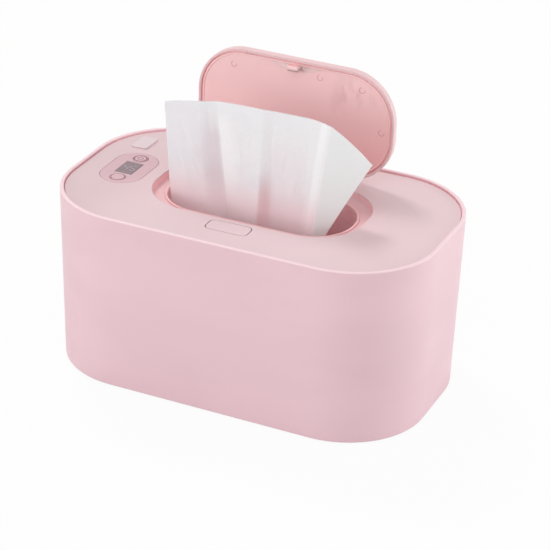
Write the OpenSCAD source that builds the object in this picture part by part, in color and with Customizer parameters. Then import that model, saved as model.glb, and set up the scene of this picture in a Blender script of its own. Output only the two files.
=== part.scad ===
// Baby wipe warmer: heated tub in a drafted casing, lift-off cover with a sprung flap.
// Millimetres. Z is up, the front faces -Y, the origin is on the table under the middle of the casing.

/* [Casing] */
// Length of the casing at its rim
body_len = 200; // [188:1:230]
// Depth of the casing at its rim
body_dep = 120; // [116:1:140]
// Height of the casing from its lower edge to its rim
body_ht = 94; // [80:1:120]
// Corner radius of the casing at its rim, seen from above
corner_r = 45; // [40:1:50]
// How far each side leans in between the rim and the lower edge
draft = 2; // [0.5:0.1:3]
// Wall thickness of the casing
casing_wall = 2; // [1.6:0.1:2.6]
// How far the rim stands above the cover panel
rim_stand = 1.2; // [0.6:0.1:2.4]
// Width of the two ledges inside the casing
ledge_w = 2; // [1.6:0.1:2.4]
// Thickness of the two ledges inside the casing
ledge_t = 2.4; // [1.6:0.1:3]

/* [Base] */
// How far the feet stand out below the casing
foot_drop = 0.8; // [0.4:0.1:1.5]
// Radius of a rubber foot
foot_r = 6; // [4:0.5:7]
// Thickness of the base plate
base_t = 2.4; // [2.2:0.1:3.2]
// Height of the electronics space between base plate and tub
under_tub = 16.6; // [16.2:0.1:22]
// Height of the board's standoffs
standoff_ht = 3.6; // [2.5:0.1:4]

/* [Tub] */
// Wall thickness of the tub
tub_wall = 1.8; // [1.2:0.1:2.4]
// Floor thickness of the tub
tub_floor = 2; // [1.2:0.1:3]
// Gap between the tub and the foot of the casing wall
tub_gap = 3; // [2.8:0.1:4]
// Thickness of the tub's flange
flange_t = 1.6; // [1.2:0.1:2.4]
// Thickness of the aluminium heat plate
heat_t = 1; // [0.6:0.1:1.5]
// Thickness of the heating film
film_t = 0.4; // [0.2:0.1:0.8]
// Thickness of the foam pad under the film
pad_t = 4; // [3.6:0.1:4.4]

/* [Cover] */
// Height of the whole cover, from panel to underside
cover_ht = 15.2; // [14.6:0.1:20]
// Thickness of the cover panel
panel_t = 2; // [1.8:0.1:2.4]
// Gap between the cover and the casing wall
panel_gap = 0.4; // [0.2:0.05:0.7]
// Thickness of the cover's skirt
skirt_t = 1.8; // [1.2:0.1:2.2]
// Thickness of the cover's lower plate
liner_t = 2; // [1.8:0.1:2.4]
// Thickness of the gasket between cover and tub
gasket_t = 1.6; // [1:0.1:2.5]
// Width of the gasket
gasket_w = 1.4; // [1:0.1:1.6]

/* [Opening] */
// Length of the opening for the wipes
open_len = 99.2; // [80:0.2:100]
// Depth of the opening for the wipes
open_dep = 45.4; // [36:0.2:46]
// Corner radius of the opening
open_r = 21.8; // [12:0.2:22]
// Thickness of the soft ring round the opening
seal_w = 1.3; // [0.8:0.1:1.5]
// Wall thickness of the collar and of the recess
collar_t = 1.6; // [1.2:0.1:1.8]
// How far the opening's collar reaches down below the cover
collar_drop = 10; // [4:0.5:14]
// Gap between the recess and the ends of the flap
end_gap = 2; // [1:0.1:2.5]
// Gap between the recess and the long sides of the flap
side_gap = 0.7; // [0.4:0.1:1]

/* [Flap] */
// Length of the flap
flap_len = 108.4; // [108:0.2:118]
// Depth of the flap
flap_dep = 59; // [58:0.2:64]
// Corner radius of the flap
flap_r = 25.5; // [18:0.5:28]
// Thickness of the flap at its rim
flap_t = 4; // [3.8:0.1:4.6]
// Thickness of the flap's top wall
flap_skin = 1.4; // [1:0.1:1.6]
// Width of the flap's rim
flap_rim = 1.5; // [1.2:0.1:1.8]
// Width of the groove between rim and inner panel
groove_w = 0.8; // [0.3:0.1:1]
// Width of the hinge tongue
tongue_w = 44; // [36:1:60]
// Radius of the hinge barrel
barrel_r = 4.6; // [4.4:0.1:5]
// Distance from the flap's rear edge to the hinge axis
hinge_back = 6.5; // [6.4:0.1:8]
// Radius of the hinge pin
pin_r = 1; // [0.8:0.1:1.2]

/* [Button and keys] */
// Length of the release button
button_len = 22; // [18:0.5:26]
// Depth of the release button
button_dep = 10; // [9:0.5:10]
// Travel of the release button
button_travel = 1.5; // [1.2:0.1:1.6]
// Gap round the release button
button_gap = 0.45; // [0.3:0.05:0.6]
// Length of the control oval, front to back
oval_len = 38; // [37.5:0.5:42]
// Width of the control oval
oval_w = 22.8; // [22.4:0.2:25]
// Length of the display window, front to back
display_len = 14; // [10:0.5:14.5]
// Width of the display window
display_w = 9.4; // [6:0.2:12]
// Radius of a key cap
key_r = 3.8; // [3:0.1:4]
// Distance from the display's middle to a key's middle
key_pitch = 12.4; // [12:0.1:12.8]
// Travel of a key
key_travel = 0.4; // [0.2:0.05:0.45]

/* [Wipe] */
// Width of the wipe where it leaves the opening, up to its crease
wipe_foot_w = 74.5; // [50:0.5:78]
// Width of the wipe across its top, up to its crease
wipe_top_w = 90; // [70:1:100]
// Reach of the wing that turns back to the right of the crease
wipe_wing = 19; // [6:1:24]
// Height of the wipe above the cover panel
wipe_rise = 50.7; // [30:0.1:70]
// Depth of the wipe's folds
wipe_fold = 2.6; // [0:0.2:3]

/* [Hidden] */
$fn = 96;

// Colours
casing_pink = [0.93, 0.80, 0.82];
cover_pink = [0.91, 0.80, 0.82];
tub_pink = [0.86, 0.62, 0.64];
oval_pink = [0.90, 0.74, 0.77];
board_green = [0.12, 0.38, 0.24];
steel = [0.72, 0.73, 0.75];
dark_plastic = [0.14, 0.14, 0.15];
soft_white = [0.93, 0.92, 0.93];

// General clearances
eps = 0.01;
touch_gap = 0.05;
slip_gap = 0.3;
pin_fit = 0.05;
press_fit = 0.02;

// Heights
z_low = foot_drop;
z_rim = z_low + body_ht;
z_panel = z_rim - rim_stand;
z_panel_lo = z_panel - panel_t;
z_root = z_panel_lo + panel_t / 2;
z_cover_lo = z_panel - cover_ht;
z_skirt_lo = z_cover_lo + liner_t;
z_flange = z_cover_lo - gasket_t;
z_flange_lo = z_flange - flange_t;
z_base = z_low + base_t;
z_tub_lo = z_base + under_tub;
z_tub_floor = z_tub_lo + tub_floor;
z_heat_lo = z_tub_lo - heat_t;
z_film_lo = z_heat_lo - film_t;
z_pad_lo = z_film_lo - pad_t;

// Insets of the nested shells from the casing's rim outline
function lean(z) = draft * (z_rim - z) / body_ht;
function wall_in(z) = casing_wall + lean(z);
panel_in = wall_in(z_panel_lo) + panel_gap;
skirt_in = wall_in(z_cover_lo) + panel_gap;
tub_in = casing_wall + draft + tub_gap;
flange_in = wall_in(z_flange_lo) + panel_gap;
base_in = wall_in(z_low) + panel_gap;
top_ledge_in = wall_in(z_flange_lo) + ledge_w + 1;
low_ledge_in = wall_in(z_base) + ledge_w;
ledge_root = 0.6;
gasket_in = tub_in + (tub_wall - gasket_w) / 2;

// A point inside a corner, a given inset from the rim outline and at an angle from the X axis
function at_corner(inset, angle) = [
    body_len / 2 - corner_r + (corner_r - inset) * cos(angle),
    body_dep / 2 - corner_r + (corner_r - inset) * sin(angle)
];

// Screws
screw_r = 1.2;
screw_head_r = 2.8;
screw_head_t = 1.1;
head_play = 0.2;
small_r = 0.9;
small_head_r = 1.8;
small_head_t = 0.9;
small_len = 4.5;
z_base_seat = z_low + screw_head_t + head_play;
z_cover_seat = z_cover_lo + screw_head_t + touch_gap;
base_boss_r = 4;
base_boss_at = at_corner(12, 36);
base_screw_len = 10;
cover_boss_r = 3;
cover_corner_at = at_corner(skirt_in + skirt_t + cover_boss_r + 0.6, 22);
cover_side_at = [30, body_dep / 2 - skirt_in - skirt_t - cover_boss_r - 1.4];
cover_screw_len = 8;
foot_at = at_corner(14, 60);
foot_seat = 1.2;

// Heater
heat_inset = [26, 24];
heat_half = [body_len / 2 - heat_inset.x, body_dep / 2 - heat_inset.y];
heat_corner = 10;
film_margin = 5;
sensor_at = [-30, 14];
sensor_r = 1.5;
sensor_len = 8;
fuse_at = [-30, -14];
fuse_r = 1.3;
fuse_len = 10;
lead_t = 0.3;
lead_w = 6;

// Main board
board_t = 1.6;
board_len = 76;
standoff_inset = 4;
plug_size = [5.6, 10, 2.6];
z_board = z_base + standoff_ht;
z_board_top = z_board + board_t;
standoff_r = 2.6;
component_ht = 4.4;

// Power socket
socket_x = 45;
socket_size = [11, 12.5, 9];
z_socket = z_board_top + socket_size.z / 2;
socket_back = body_dep / 2 - wall_in(z_board_top) - 0.4;
socket_step = 4.8;
nose_r = 4;
barrel_bore_r = 3.1;
barrel_depth = 9;
centre_pin_r = 1;

// Place of the board: its screws clear the ribbon's plug, its rear edge carries the socket
board_front = -(plug_size.y / 2 + slip_gap + small_head_r + standoff_inset);
board_rear = socket_back - socket_step;
board_size = [board_len, board_rear - board_front];
board_at = [30, (board_front + board_rear) / 2];
lead_offset = [-28, 4];
capacitor_offset = [-10, 18];
capacitor_r = 3.2;
coil_offset = [4, 14];
coil_size = [8, 8, 4];
transistor_offset = [22, 4];
transistor_size = [6.6, 6.6, 2.3];
controller_offset = [0, -10];
controller_size = [7, 7, 1];
lead_plug_size = [6, 9];
lead_at = board_at + lead_offset;
capacitor_at = board_at + capacitor_offset;

// Contacts between base and cover
ribbon_t = 0.4;
ribbon_w = 8;
contact_out = wall_in(z_flange_lo - 10) + 0.5;
contact_in = tub_in - 0.4;
contact_size = [contact_in - contact_out, 18, 11];
contact_x = -(body_len / 2 - (contact_in + contact_out) / 2);
contact_pitch = 4.5;
contact_bow = gasket_t - 0.1;
contact_strip_t = 0.8;
ribbon_x = -(body_len / 2 - tub_in) - 0.5 - ribbon_t;
panel_lead_x = -(body_len / 2 - skirt_in - skirt_t) + 0.9;
lead_lap = 3;

// Recess, opening and flap, seen from above with the flap closed
flap_seat = 0.2;
recess_len = flap_len + 2 * end_gap;
recess_dep = flap_dep + 2 * side_gap;
recess_r = flap_r + 1;
z_flap_lo = z_panel - flap_t;
z_shelf = z_flap_lo - flap_seat;
shelf_t = 1.4;
z_shelf_lo = z_shelf - shelf_t;
liner_face_t = 1.85;
z_liner_face = z_panel - flap_skin - liner_face_t;
seal_root = 0.8;
bead_w = 0.7;
groove_deep = 1;
bead_ht = 0.4;
pad_ht = 0.1;
pad_chord = 30;
pad_rise = 4;
z_seal_top = z_liner_face - pad_ht - touch_gap;

// Hinge
hinge_y = flap_dep / 2 + hinge_back;
hinge_z = z_panel - barrel_r;
tongue_t = 2.2;
trough_gap = 0.4;
trough_r = barrel_r + trough_gap;
trough_t = 1.2;
ear_t = 2.6;
ear_gap = 0.4;
spring_gap = 12;

// Release button, latch slider and hook
button_y = -(recess_dep / 2 + collar_t + 0.3 + 0.9 + button_dep / 2);
button_r = 3;
button_flange = 0.9;
button_t = panel_t + 0.9;
slider_z = z_shelf_lo - 0.2;
tongue_tip_t = 1.4;
slider_w = 16;
tip_w = 6;
hook_w = 5.4;
hook_t = 1.4;
hook_y = -(open_dep / 2 + seal_w + 0.9);
nose_reach = 1.6;
nose_t = 1.3;
catch = 0.6;
slot_gap = 0.4;
z_nose = slider_z - tongue_tip_t - 0.2;
tip_y = hook_y - hook_t - nose_reach + catch;
body_lo = z_nose - 0.8;
body_hi = slider_z + 0.4;
stem_w = 6;
stem_back = button_y + 1.8;
z_button_lo = z_panel - button_t;
z_stem_lo = body_lo - 0.5;
z_ramp_hi = body_hi + 0.4;
ramp_gap = 0.1;
ramp_y = button_y - 0.5;
slider_front = button_y - 8;
slider_back = -(recess_dep / 2 + collar_t + 0.2);
retainer_t = 1.6;
retainer_wall = 1.6;
z_retainer = body_lo - 0.1;
latch_spring_len = 6.5;
latch_coil_r = 1.2;
latch_wire_r = 0.25;
latch_turns = 5;
retainer_ear = [18, 9];
retainer_screw_x = 15.6;
retainer_screw_y = button_y - 5;

// Control oval
control_share = 0.4224;
control_x = -(recess_len + control_share * (body_len - recess_len)) / 2;
oval_t = 1.2;
oval_shelf = 1.4;
oval_gap = 0.15;
key_gap = 0.3;
key_proud = 0.2;
key_flange = 0.9;
key_flange_t = 0.6;
z_key_lo = z_panel - oval_t - 2 * touch_gap - key_flange_t;
window_gap = 0.08;
control_board_size = [30, 40];
control_board_t = 1.4;
z_control_board = z_cover_lo + 4.2;
z_control_top = z_control_board + control_board_t;
switch_size = [6, 6, 3.4];
plunger_r = 1.7;
plunger_ht = 0.5;
z_plunger = z_control_top + switch_size.z + plunger_ht;
control_boss_r = 2.1;
control_boss_at = [12, 17];

// Lift tab at the rear left of the panel
tab_size = [9.6, 14];
tab_inset = [17.9, 29.2];
tab_at = [-(body_len / 2 - tab_inset.x), body_dep / 2 - tab_inset.y];
tab_ht = [0.3, 1];
tab_r = 1.6;
tab_peg_r = 1.5;

// Hinge spring
hinge_wire_r = 0.35;
hinge_coil_r = barrel_r - tongue_t - hinge_wire_r - touch_gap;
hinge_coil_len = 8.4;
hinge_turns = 6;

// Wipe
wipe_t = 0.5;
wipe_cols = 28;
wipe_rows = 12;
wipe_crease = 22 / 28;
wipe_x = -5.25;
wipe_y = -12.6;
wipe_lean = 6.8;
wipe_tail = 13.5;
wipe_drop = 6.9;

// ---------------------------------------------------------------- shapes

// Rounded rectangle
module rounded(len, dep, r) {
    square([len, dep - 2 * r], center = true);
    square([len - 2 * r, dep], center = true);
    for (sx = [-1, 1], sy = [-1, 1])
        translate([sx * (len / 2 - r), sy * (dep / 2 - r)]) circle(r);
}

// Rounded slab between two heights
module slab(len, dep, r, lo, hi) {
    translate([0, 0, lo]) linear_extrude(hi - lo) rounded(len, dep, r);
}

// Slab that follows the casing's rim outline at an inset
module shell_slab(inset, lo, hi) {
    slab(body_len - 2 * inset, body_dep - 2 * inset, corner_r - inset, lo, hi);
}

// Ring between two insets
module shell_ring(outer_in, inner_in, lo, hi) {
    difference() {
        shell_slab(outer_in, lo, hi);
        shell_slab(inner_in, lo - 1, hi + 1);
    }
}

// Drafted block: the rim outline at an inset, leaning in towards the foot
module drafted_block(inset, lo, hi) {
    low_in = inset + lean(lo);
    high_in = inset + lean(hi);
    cx = body_len / 2 - corner_r;
    cy = body_dep / 2 - corner_r;
    for (sx = [-1, 1], sy = [-1, 1])
        translate([sx * cx, sy * cy, lo])
            cylinder(h = hi - lo, r1 = corner_r - low_in, r2 = corner_r - high_in);
    rotate([90, 0, 0]) linear_extrude(2 * cy, center = true)
        lean_profile(body_len / 2, low_in, high_in, lo, hi);
    rotate([90, 0, 90]) linear_extrude(2 * cx, center = true)
        lean_profile(body_dep / 2, low_in, high_in, lo, hi);
}

module lean_profile(half, low_in, high_in, lo, hi) {
    polygon([
        [-(half - low_in), lo], [half - low_in, lo],
        [half - high_in, hi], [-(half - high_in), hi]
    ]);
}

// Copies at the four corners of a rectangle
module at_four(at) {
    for (sx = [-1, 1], sy = [-1, 1]) translate([sx * at.x, sy * at.y, 0]) children();
}

// Post or hole between two heights
module post(r, lo, hi) {
    translate([0, 0, lo]) cylinder(h = hi - lo, r = r);
}

// Box given by its corner and size, in X and Y centred on a point
module block(at, size, lo) {
    translate([at.x - size.x / 2, at.y - size.y / 2, lo]) cube(size);
}

// Screw with a flat head, pointing up from the underside of its head
module screw(head_lo, len) {
    post(screw_head_r, head_lo, head_lo + screw_head_t);
    post(screw_r - press_fit, head_lo + screw_head_t - eps, head_lo + screw_head_t + len);
}

// Profile in X and Z, drawn out along Y
module along_y(width, y = 0) {
    translate([0, y + width / 2, 0]) rotate([90, 0, 0]) linear_extrude(width) children();
}

// Profile in Y and Z, drawn out along X
module along_x(width, x = 0) {
    translate([x - width / 2, 0, 0]) rotate([90, 0, 90]) linear_extrude(width) children();
}

// Round bar along X through a point in Y and Z
module bar_x(r, len, at) {
    translate([-len / 2, at.x, at.y]) rotate([0, 90, 0]) cylinder(h = len, r = r);
}

// Round bar along Y between two depths, through a point in X and Z
module bar_y(r, at, lo, hi) {
    translate([at.x, lo, at.y]) rotate([-90, 0, 0]) cylinder(h = hi - lo, r = r);
}

// Turns what is drawn with the flap closed to the flap's open position
module opened() {
    translate([0, hinge_y, hinge_z]) rotate([-90, 0, 0]) translate([0, -hinge_y, -hinge_z])
        children();
}

// ---------------------------------------------------------------- swept wire

function unit(v) = v / norm(v);
function turn_dir(path, i) =
    unit(path[min(i + 1, len(path) - 1)] - path[max(i - 1, 0)]);
function wire_ring(path, i, r, sides, axis) =
    let (t = turn_dir(path, i), u = unit(cross(t, axis)), w = cross(t, u))
    [for (k = [0 : sides - 1]) path[i] + r * (cos(360 * k / sides) * u + sin(360 * k / sides) * w)];

// Wire of round section along a path that winds round an axis
module wire(path, r, axis, sides = 6) {
    n = len(path);
    points = [for (i = [0 : n - 1]) each wire_ring(path, i, r, sides, axis)];
    sides_faces = [
        for (i = [0 : n - 2], k = [0 : sides - 1])
        let (a = i * sides + k, b = i * sides + (k + 1) % sides)
        each [[a, a + sides, b], [b, a + sides, b + sides]]
    ];
    caps = [
        [for (k = [0 : sides - 1]) k],
        [for (k = [sides - 1 : -1 : 0]) (n - 1) * sides + k]
    ];
    polyhedron(points, concat(sides_faces, caps));
}

// ---------------------------------------------------------------- casing and base

module outer_casing() {
    color(casing_pink) difference() {
        union() {
            difference() {
                drafted_block(0, z_low, z_rim);
                drafted_block(casing_wall, z_low - 1, z_rim + 1);
            }
            shell_ring(wall_in(z_flange_lo) - ledge_root, top_ledge_in,
                z_flange_lo - ledge_t, z_flange_lo);
            shell_ring(wall_in(z_base) - ledge_root, low_ledge_in, z_base, z_base + ledge_t);
        }
        contact_notch(z_flange_lo - ledge_t - 1, z_flange_lo + 1);
        bar_y(nose_r + slip_gap, [socket_x, z_socket], socket_back, body_dep / 2 + 1);
    }
}

// Room for the contact block, cut through the ledge and the tub's flange
module contact_notch(lo, hi) {
    block([contact_x, 0], [contact_size.x + 2 * slip_gap, contact_size.y + 2 * slip_gap, hi - lo], lo);
}

module base_plate() {
    color(casing_pink) difference() {
        union() {
            shell_slab(base_in, z_low, z_base);
            at_board_corners() post(standoff_r, z_base - eps, z_board);
        }
        at_four(foot_at) post(foot_r + press_fit, z_low - 1, z_low + foot_seat);
        at_four(base_boss_at) {
            post(screw_head_r + head_play, z_low - 1, z_base_seat);
            post(screw_r + head_play, z_low - 1, z_base + 1);
        }
        at_board_corners() post(small_r, z_base - 1, z_board + 1);
    }
}

module rubber_feet() {
    color(dark_plastic) at_four(foot_at) post(foot_r, 0, z_low + foot_seat);
}

module base_screws() {
    color(steel) at_four(base_boss_at) screw(z_base_seat - screw_head_t, base_screw_len);
}

// ---------------------------------------------------------------- tub and heater

module inner_tub() {
    color(tub_pink) difference() {
        union() {
            difference() {
                shell_slab(tub_in, z_tub_lo, z_flange);
                shell_slab(tub_in + tub_wall, z_tub_floor, z_flange + 1);
            }
            shell_ring(flange_in, tub_in + tub_wall / 2, z_flange_lo, z_flange);
            at_four(base_boss_at) post(base_boss_r, z_base, z_tub_lo + tub_floor / 2);
        }
        at_four(base_boss_at) post(screw_r, z_base - 1, z_base + base_screw_len);
        contact_notch(z_flange_lo - 1, z_flange + 1);
    }
}

module heat_plate() {
    color(steel)
        slab(2 * heat_half.x, 2 * heat_half.y, heat_corner, z_heat_lo, z_tub_lo);
}

module heating_film() {
    color([0.80, 0.45, 0.15])
        slab(2 * (heat_half.x - film_margin), 2 * (heat_half.y - film_margin),
            heat_corner - film_margin, z_film_lo, z_heat_lo);
}

module insulation_pad() {
    color(soft_white) difference() {
        slab(2 * heat_half.x, 2 * heat_half.y, heat_corner, z_pad_lo, z_film_lo);
        block(sensor_at, [sensor_len + 2, 2 * sensor_r + 1, pad_t + 2], z_pad_lo - 1);
        block(fuse_at, [fuse_len + 2, 2 * fuse_r + 1, pad_t + 2], z_pad_lo - 1);
        block(lead_at, [lead_t + 1.4, lead_w + 2, pad_t + 2], z_pad_lo - 1);
    }
}

module temperature_sensor() {
    color(dark_plastic) translate([sensor_at.x, 0, 0])
        bar_x(sensor_r, sensor_len, [sensor_at.y, z_film_lo - sensor_r - touch_gap]);
}

module thermal_fuse() {
    color(steel) translate([fuse_at.x, 0, 0])
        bar_x(fuse_r, fuse_len, [fuse_at.y, z_film_lo - fuse_r - touch_gap]);
}

module heater_lead() {
    color([0.80, 0.45, 0.15])
        block(lead_at, [lead_t, lead_w, z_film_lo - z_board_top - component_ht],
            z_board_top + component_ht);
}

// ---------------------------------------------------------------- main board

module at_board_corners() {
    translate([board_at.x, board_at.y, 0])
        at_four([board_size.x / 2 - standoff_inset, board_size.y / 2 - standoff_inset]) children();
}

module main_board() {
    color(board_green) difference() {
        block(board_at, [board_size.x, board_size.y, board_t], z_board);
        at_board_corners() post(small_r + head_play, z_board - 1, z_board_top + 1);
    }
}

module board_screws() {
    color(steel) at_board_corners() {
        post(small_head_r, z_board_top, z_board_top + small_head_t);
        post(small_r - press_fit, z_board_top - small_len, z_board_top + eps);
    }
}

// Heater connector, capacitor, coil, switching transistor and controller
module board_components() {
    color(dark_plastic) {
        block(lead_at, [lead_plug_size.x, lead_plug_size.y, component_ht], z_board_top);
        translate([capacitor_at.x, capacitor_at.y, 0])
            post(capacitor_r, z_board_top, z_board_top + component_ht);
        block(board_at + coil_offset, coil_size, z_board_top);
        block(board_at + transistor_offset, transistor_size, z_board_top);
        block(board_at + controller_offset, controller_size, z_board_top);
    }
}

module power_socket() {
    nose_end = body_dep / 2 - lean(z_socket) - slip_gap;
    color(dark_plastic) {
        difference() {
            union() {
                block([socket_x, socket_back - socket_size.y / 2], socket_size, z_board_top);
                bar_y(nose_r, [socket_x, z_socket], socket_back - eps, nose_end);
            }
            bar_y(barrel_bore_r, [socket_x, z_socket], nose_end - barrel_depth, nose_end + 1);
        }
        bar_y(centre_pin_r, [socket_x, z_socket], nose_end - barrel_depth - 0.5, nose_end - 1);
    }
}

// Flat cable from the board along the base and up beside the tub
module contact_ribbon() {
    plug_x = board_at.x - board_size.x / 2 + plug_size.x / 2 + 0.5;
    start_x = plug_x - plug_size.x / 2;
    drop_x = board_at.x - board_size.x / 2 - 3;
    z_start = z_board_top + 1;
    color(soft_white) {
        block([plug_x, 0], plug_size, z_board_top);
        along_y(ribbon_w) polygon([
            [start_x + eps, z_start + ribbon_t],
            [drop_x - ribbon_t, z_start + ribbon_t],
            [drop_x - ribbon_t, z_base + touch_gap + ribbon_t],
            [ribbon_x + ribbon_t, z_base + touch_gap + ribbon_t],
            [ribbon_x + ribbon_t, z_flange - contact_size.z],
            [ribbon_x, z_flange - contact_size.z],
            [ribbon_x, z_base + touch_gap],
            [drop_x, z_base + touch_gap],
            [drop_x, z_start],
            [start_x + eps, z_start]
        ]);
    }
}

module base_contact_block() {
    color(dark_plastic) block([contact_x, 0], contact_size, z_flange - contact_size.z);
}

module contact_springs() {
    color([0.85, 0.70, 0.30]) at_contacts() difference() {
        bar_y(contact_bow, [contact_x, z_flange], -0.8, 0.8);
        bar_y(contact_bow - 0.3, [contact_x, z_flange], -1, 1);
        block([contact_x, 0], [4, 4, 2], z_flange - 2);
    }
}

module at_contacts() {
    for (i = [-1.5 : 1 : 1.5]) translate([0, i * contact_pitch, 0]) children();
}

// ---------------------------------------------------------------- cover

module top_cover() {
    color(cover_pink) difference() {
        union() {
            shell_slab(panel_in, z_panel_lo, z_panel);
            shell_ring(skirt_in, skirt_in + skirt_t, z_skirt_lo, z_root);
            slab(recess_len + 2 * collar_t, recess_dep + 2 * collar_t, recess_r + collar_t,
                z_shelf_lo, z_root);
            slab(open_len + 2 * collar_t, open_dep + 2 * collar_t, open_r + collar_t,
                z_skirt_lo, z_shelf_lo + shelf_t / 2);
            along_x(tongue_w + 2 * (ear_gap + ear_t)) cradle_profile();
            cover_bosses();
        }
        slab(recess_len, recess_dep, recess_r, z_shelf, z_panel + 1);
        slab(open_len, open_dep, open_r, z_skirt_lo - 1, z_panel + 1);
        slab(open_len + 2 * seal_w, open_dep + 2 * seal_w, open_r + seal_w,
            z_shelf - seal_root, z_panel + 1);
        along_x(tongue_w + 2 * ear_gap) trough_profile();
        bar_x(pin_r + press_fit, tongue_w + 2 * (ear_gap + ear_t) + 1, [hinge_y, hinge_z]);
        flap_relief();
        hook_slot();
        cover_holes();
    }
}

// Room in the panel's edge for the flap's rear rim, which swings round the hinge axis
module flap_relief() {
    reach = 2 * hinge_back;
    intersection() {
        translate([0, hinge_y, hinge_z]) rotate([0, 90, 0]) rotate_extrude() intersection() {
            translate([hinge_y, 0])
                rounded(flap_dep + 2 * slip_gap, flap_len + 2 * slip_gap, flap_r + slip_gap);
            translate([0, -flap_len / 2]) square([reach, flap_len]);
        }
        block([0, hinge_y - reach / 2], [flap_len, reach, z_panel - z_shelf + 1], z_shelf);
    }
}

module cradle_profile() {
    half = trough_r + trough_t;
    intersection() {
        translate([hinge_y, hinge_z]) circle(half);
        translate([hinge_y - half, hinge_z - half]) square([2 * half, half + eps]);
    }
    translate([hinge_y - half, hinge_z]) square([2 * half, z_root - hinge_z]);
}

module trough_profile() {
    front = recess_dep / 2 - 1;
    translate([hinge_y, hinge_z]) circle(trough_r);
    translate([hinge_y, hinge_z]) square([trough_r, z_panel - hinge_z + 1]);
    translate([front, z_shelf]) square([hinge_y - front, z_panel - z_shelf + 1]);
}

module cover_bosses() {
    at_four(cover_corner_at) post(cover_boss_r, z_skirt_lo, z_root);
    at_four(cover_side_at) post(cover_boss_r, z_skirt_lo, z_root);
    at_control() at_four(control_boss_at) post(control_boss_r, z_control_top, z_root);
    at_retainer_screws() post(control_boss_r, z_retainer, z_root);
}

module cover_holes() {
    at_four(cover_corner_at) post(screw_r, z_skirt_lo - 1, z_skirt_lo + cover_screw_len + 1);
    at_four(cover_side_at) post(screw_r, z_skirt_lo - 1, z_skirt_lo + cover_screw_len + 1);
    at_control() at_four(control_boss_at) post(small_r, z_control_top - 1, z_panel_lo - 1);
    at_retainer_screws() post(small_r, z_retainer - 1, z_retainer + small_len + 0.5);
    translate([0, button_y, 0])
        slab(button_len + 2 * button_gap, button_dep + 2 * button_gap, button_r + button_gap,
            z_panel_lo - 1, z_panel + 1);
    at_control() {
        stadium_slab(oval_gap, z_panel - oval_t, z_panel + 1);
        stadium_slab(-oval_shelf, z_panel_lo - 1, z_panel + 1);
    }
    translate([tab_at.x, tab_at.y, 0]) post(tab_peg_r + press_fit, z_panel_lo - 1, z_panel + 1);
}

module hook_slot() {
    back_y = hook_y + slot_gap;
    front_y = hook_y - hook_t - nose_reach - slot_gap - slip_gap;
    block([0, (back_y + front_y) / 2], [hook_w + 2, back_y - front_y, shelf_t + 2], z_shelf_lo - 1);
}

module at_control() {
    translate([control_x, 0, 0]) children();
}

module at_retainer_screws() {
    for (sx = [-1, 1]) translate([sx * retainer_screw_x, retainer_screw_y, 0]) children();
}

// The control oval's outline, grown by a gap
module stadium_slab(grow, lo, hi) {
    r = oval_w / 2 + grow;
    straight = oval_len - oval_w;
    translate([0, 0, lo]) linear_extrude(hi - lo) {
        square([2 * r, straight], center = true);
        for (sy = [-1, 1]) translate([0, sy * straight / 2]) circle(r);
    }
}

module cover_liner() {
    color(cover_pink) difference() {
        union() {
            shell_slab(skirt_in, z_cover_lo, z_skirt_lo);
            slab(open_len + 2 * collar_t, open_dep + 2 * collar_t, open_r + collar_t,
                z_cover_lo - collar_drop, z_cover_lo + eps);
        }
        slab(open_len, open_dep, open_r, z_cover_lo - collar_drop - 1, z_skirt_lo + 1);
        at_cover_screws() {
            post(screw_head_r + head_play, z_cover_lo - 1, z_cover_seat);
            post(screw_r + head_play, z_cover_lo - 1, z_skirt_lo + 1);
        }
        block([contact_x, 0], [contact_size.x + slip_gap, contact_size.y + slip_gap, contact_strip_t + 1],
            z_cover_lo - 1);
        block([panel_lead_x, 0], [ribbon_t + 0.6, ribbon_w + 1, liner_t + 2], z_cover_lo - 1);
    }
}

module at_cover_screws() {
    at_four(cover_corner_at) children();
    at_four(cover_side_at) children();
}

module cover_gasket() {
    color(soft_white)
        shell_ring(gasket_in, gasket_in + gasket_w, z_flange + touch_gap, z_cover_lo);
}

module cover_screws() {
    color(steel) at_cover_screws() screw(z_cover_seat - screw_head_t, cover_screw_len - 1);
}

module opening_seal() {
    color(cover_pink) difference() {
        slab(open_len + 2 * seal_w - 2 * press_fit, open_dep + 2 * seal_w - 2 * press_fit,
            open_r + seal_w - press_fit, z_shelf - seal_root, z_seal_top);
        slab(open_len, open_dep, open_r, z_shelf - seal_root - 1, z_seal_top + 1);
    }
}

module cover_contact_strip() {
    color(board_green) block([contact_x, 0], [contact_size.x, contact_size.y, contact_strip_t], z_cover_lo);
}

// Flat cable from the contact strip up to the control board
module panel_lead() {
    lo = z_cover_lo + contact_strip_t;
    board_end = max(control_x - control_board_size.x / 2 + lead_lap, panel_lead_x + 2 * lead_lap);
    color(soft_white) along_y(ribbon_w) polygon([
        [panel_lead_x - ribbon_t / 2, lo],
        [panel_lead_x - ribbon_t / 2, z_control_board],
        [board_end, z_control_board],
        [board_end, z_control_board - ribbon_t],
        [panel_lead_x + ribbon_t / 2, z_control_board - ribbon_t],
        [panel_lead_x + ribbon_t / 2, lo]
    ]);
}

// ---------------------------------------------------------------- control oval

module control_panel() {
    color(oval_pink) at_control() difference() {
        stadium_slab(0, z_panel - oval_t, z_panel);
        block([0, 0], [display_w + 2 * window_gap, display_len + 2 * window_gap, oval_t + 2],
            z_panel - oval_t - 1);
        at_keys() post(key_r + key_gap, z_panel - oval_t - 1, z_panel + 1);
    }
}

module at_keys() {
    for (sy = [-1, 1]) translate([0, sy * key_pitch, 0]) children();
}

module display_window() {
    color([0.59, 0.51, 0.54]) at_control()
        block([0, 0], [display_w, display_len, oval_t], z_panel - oval_t);
}

module display_module() {
    hi = z_panel - oval_t - touch_gap;
    color(dark_plastic) at_control()
        block([0, 0], [display_w - 0.6, display_len - 0.6, hi - z_control_top], z_control_top);
}

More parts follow.
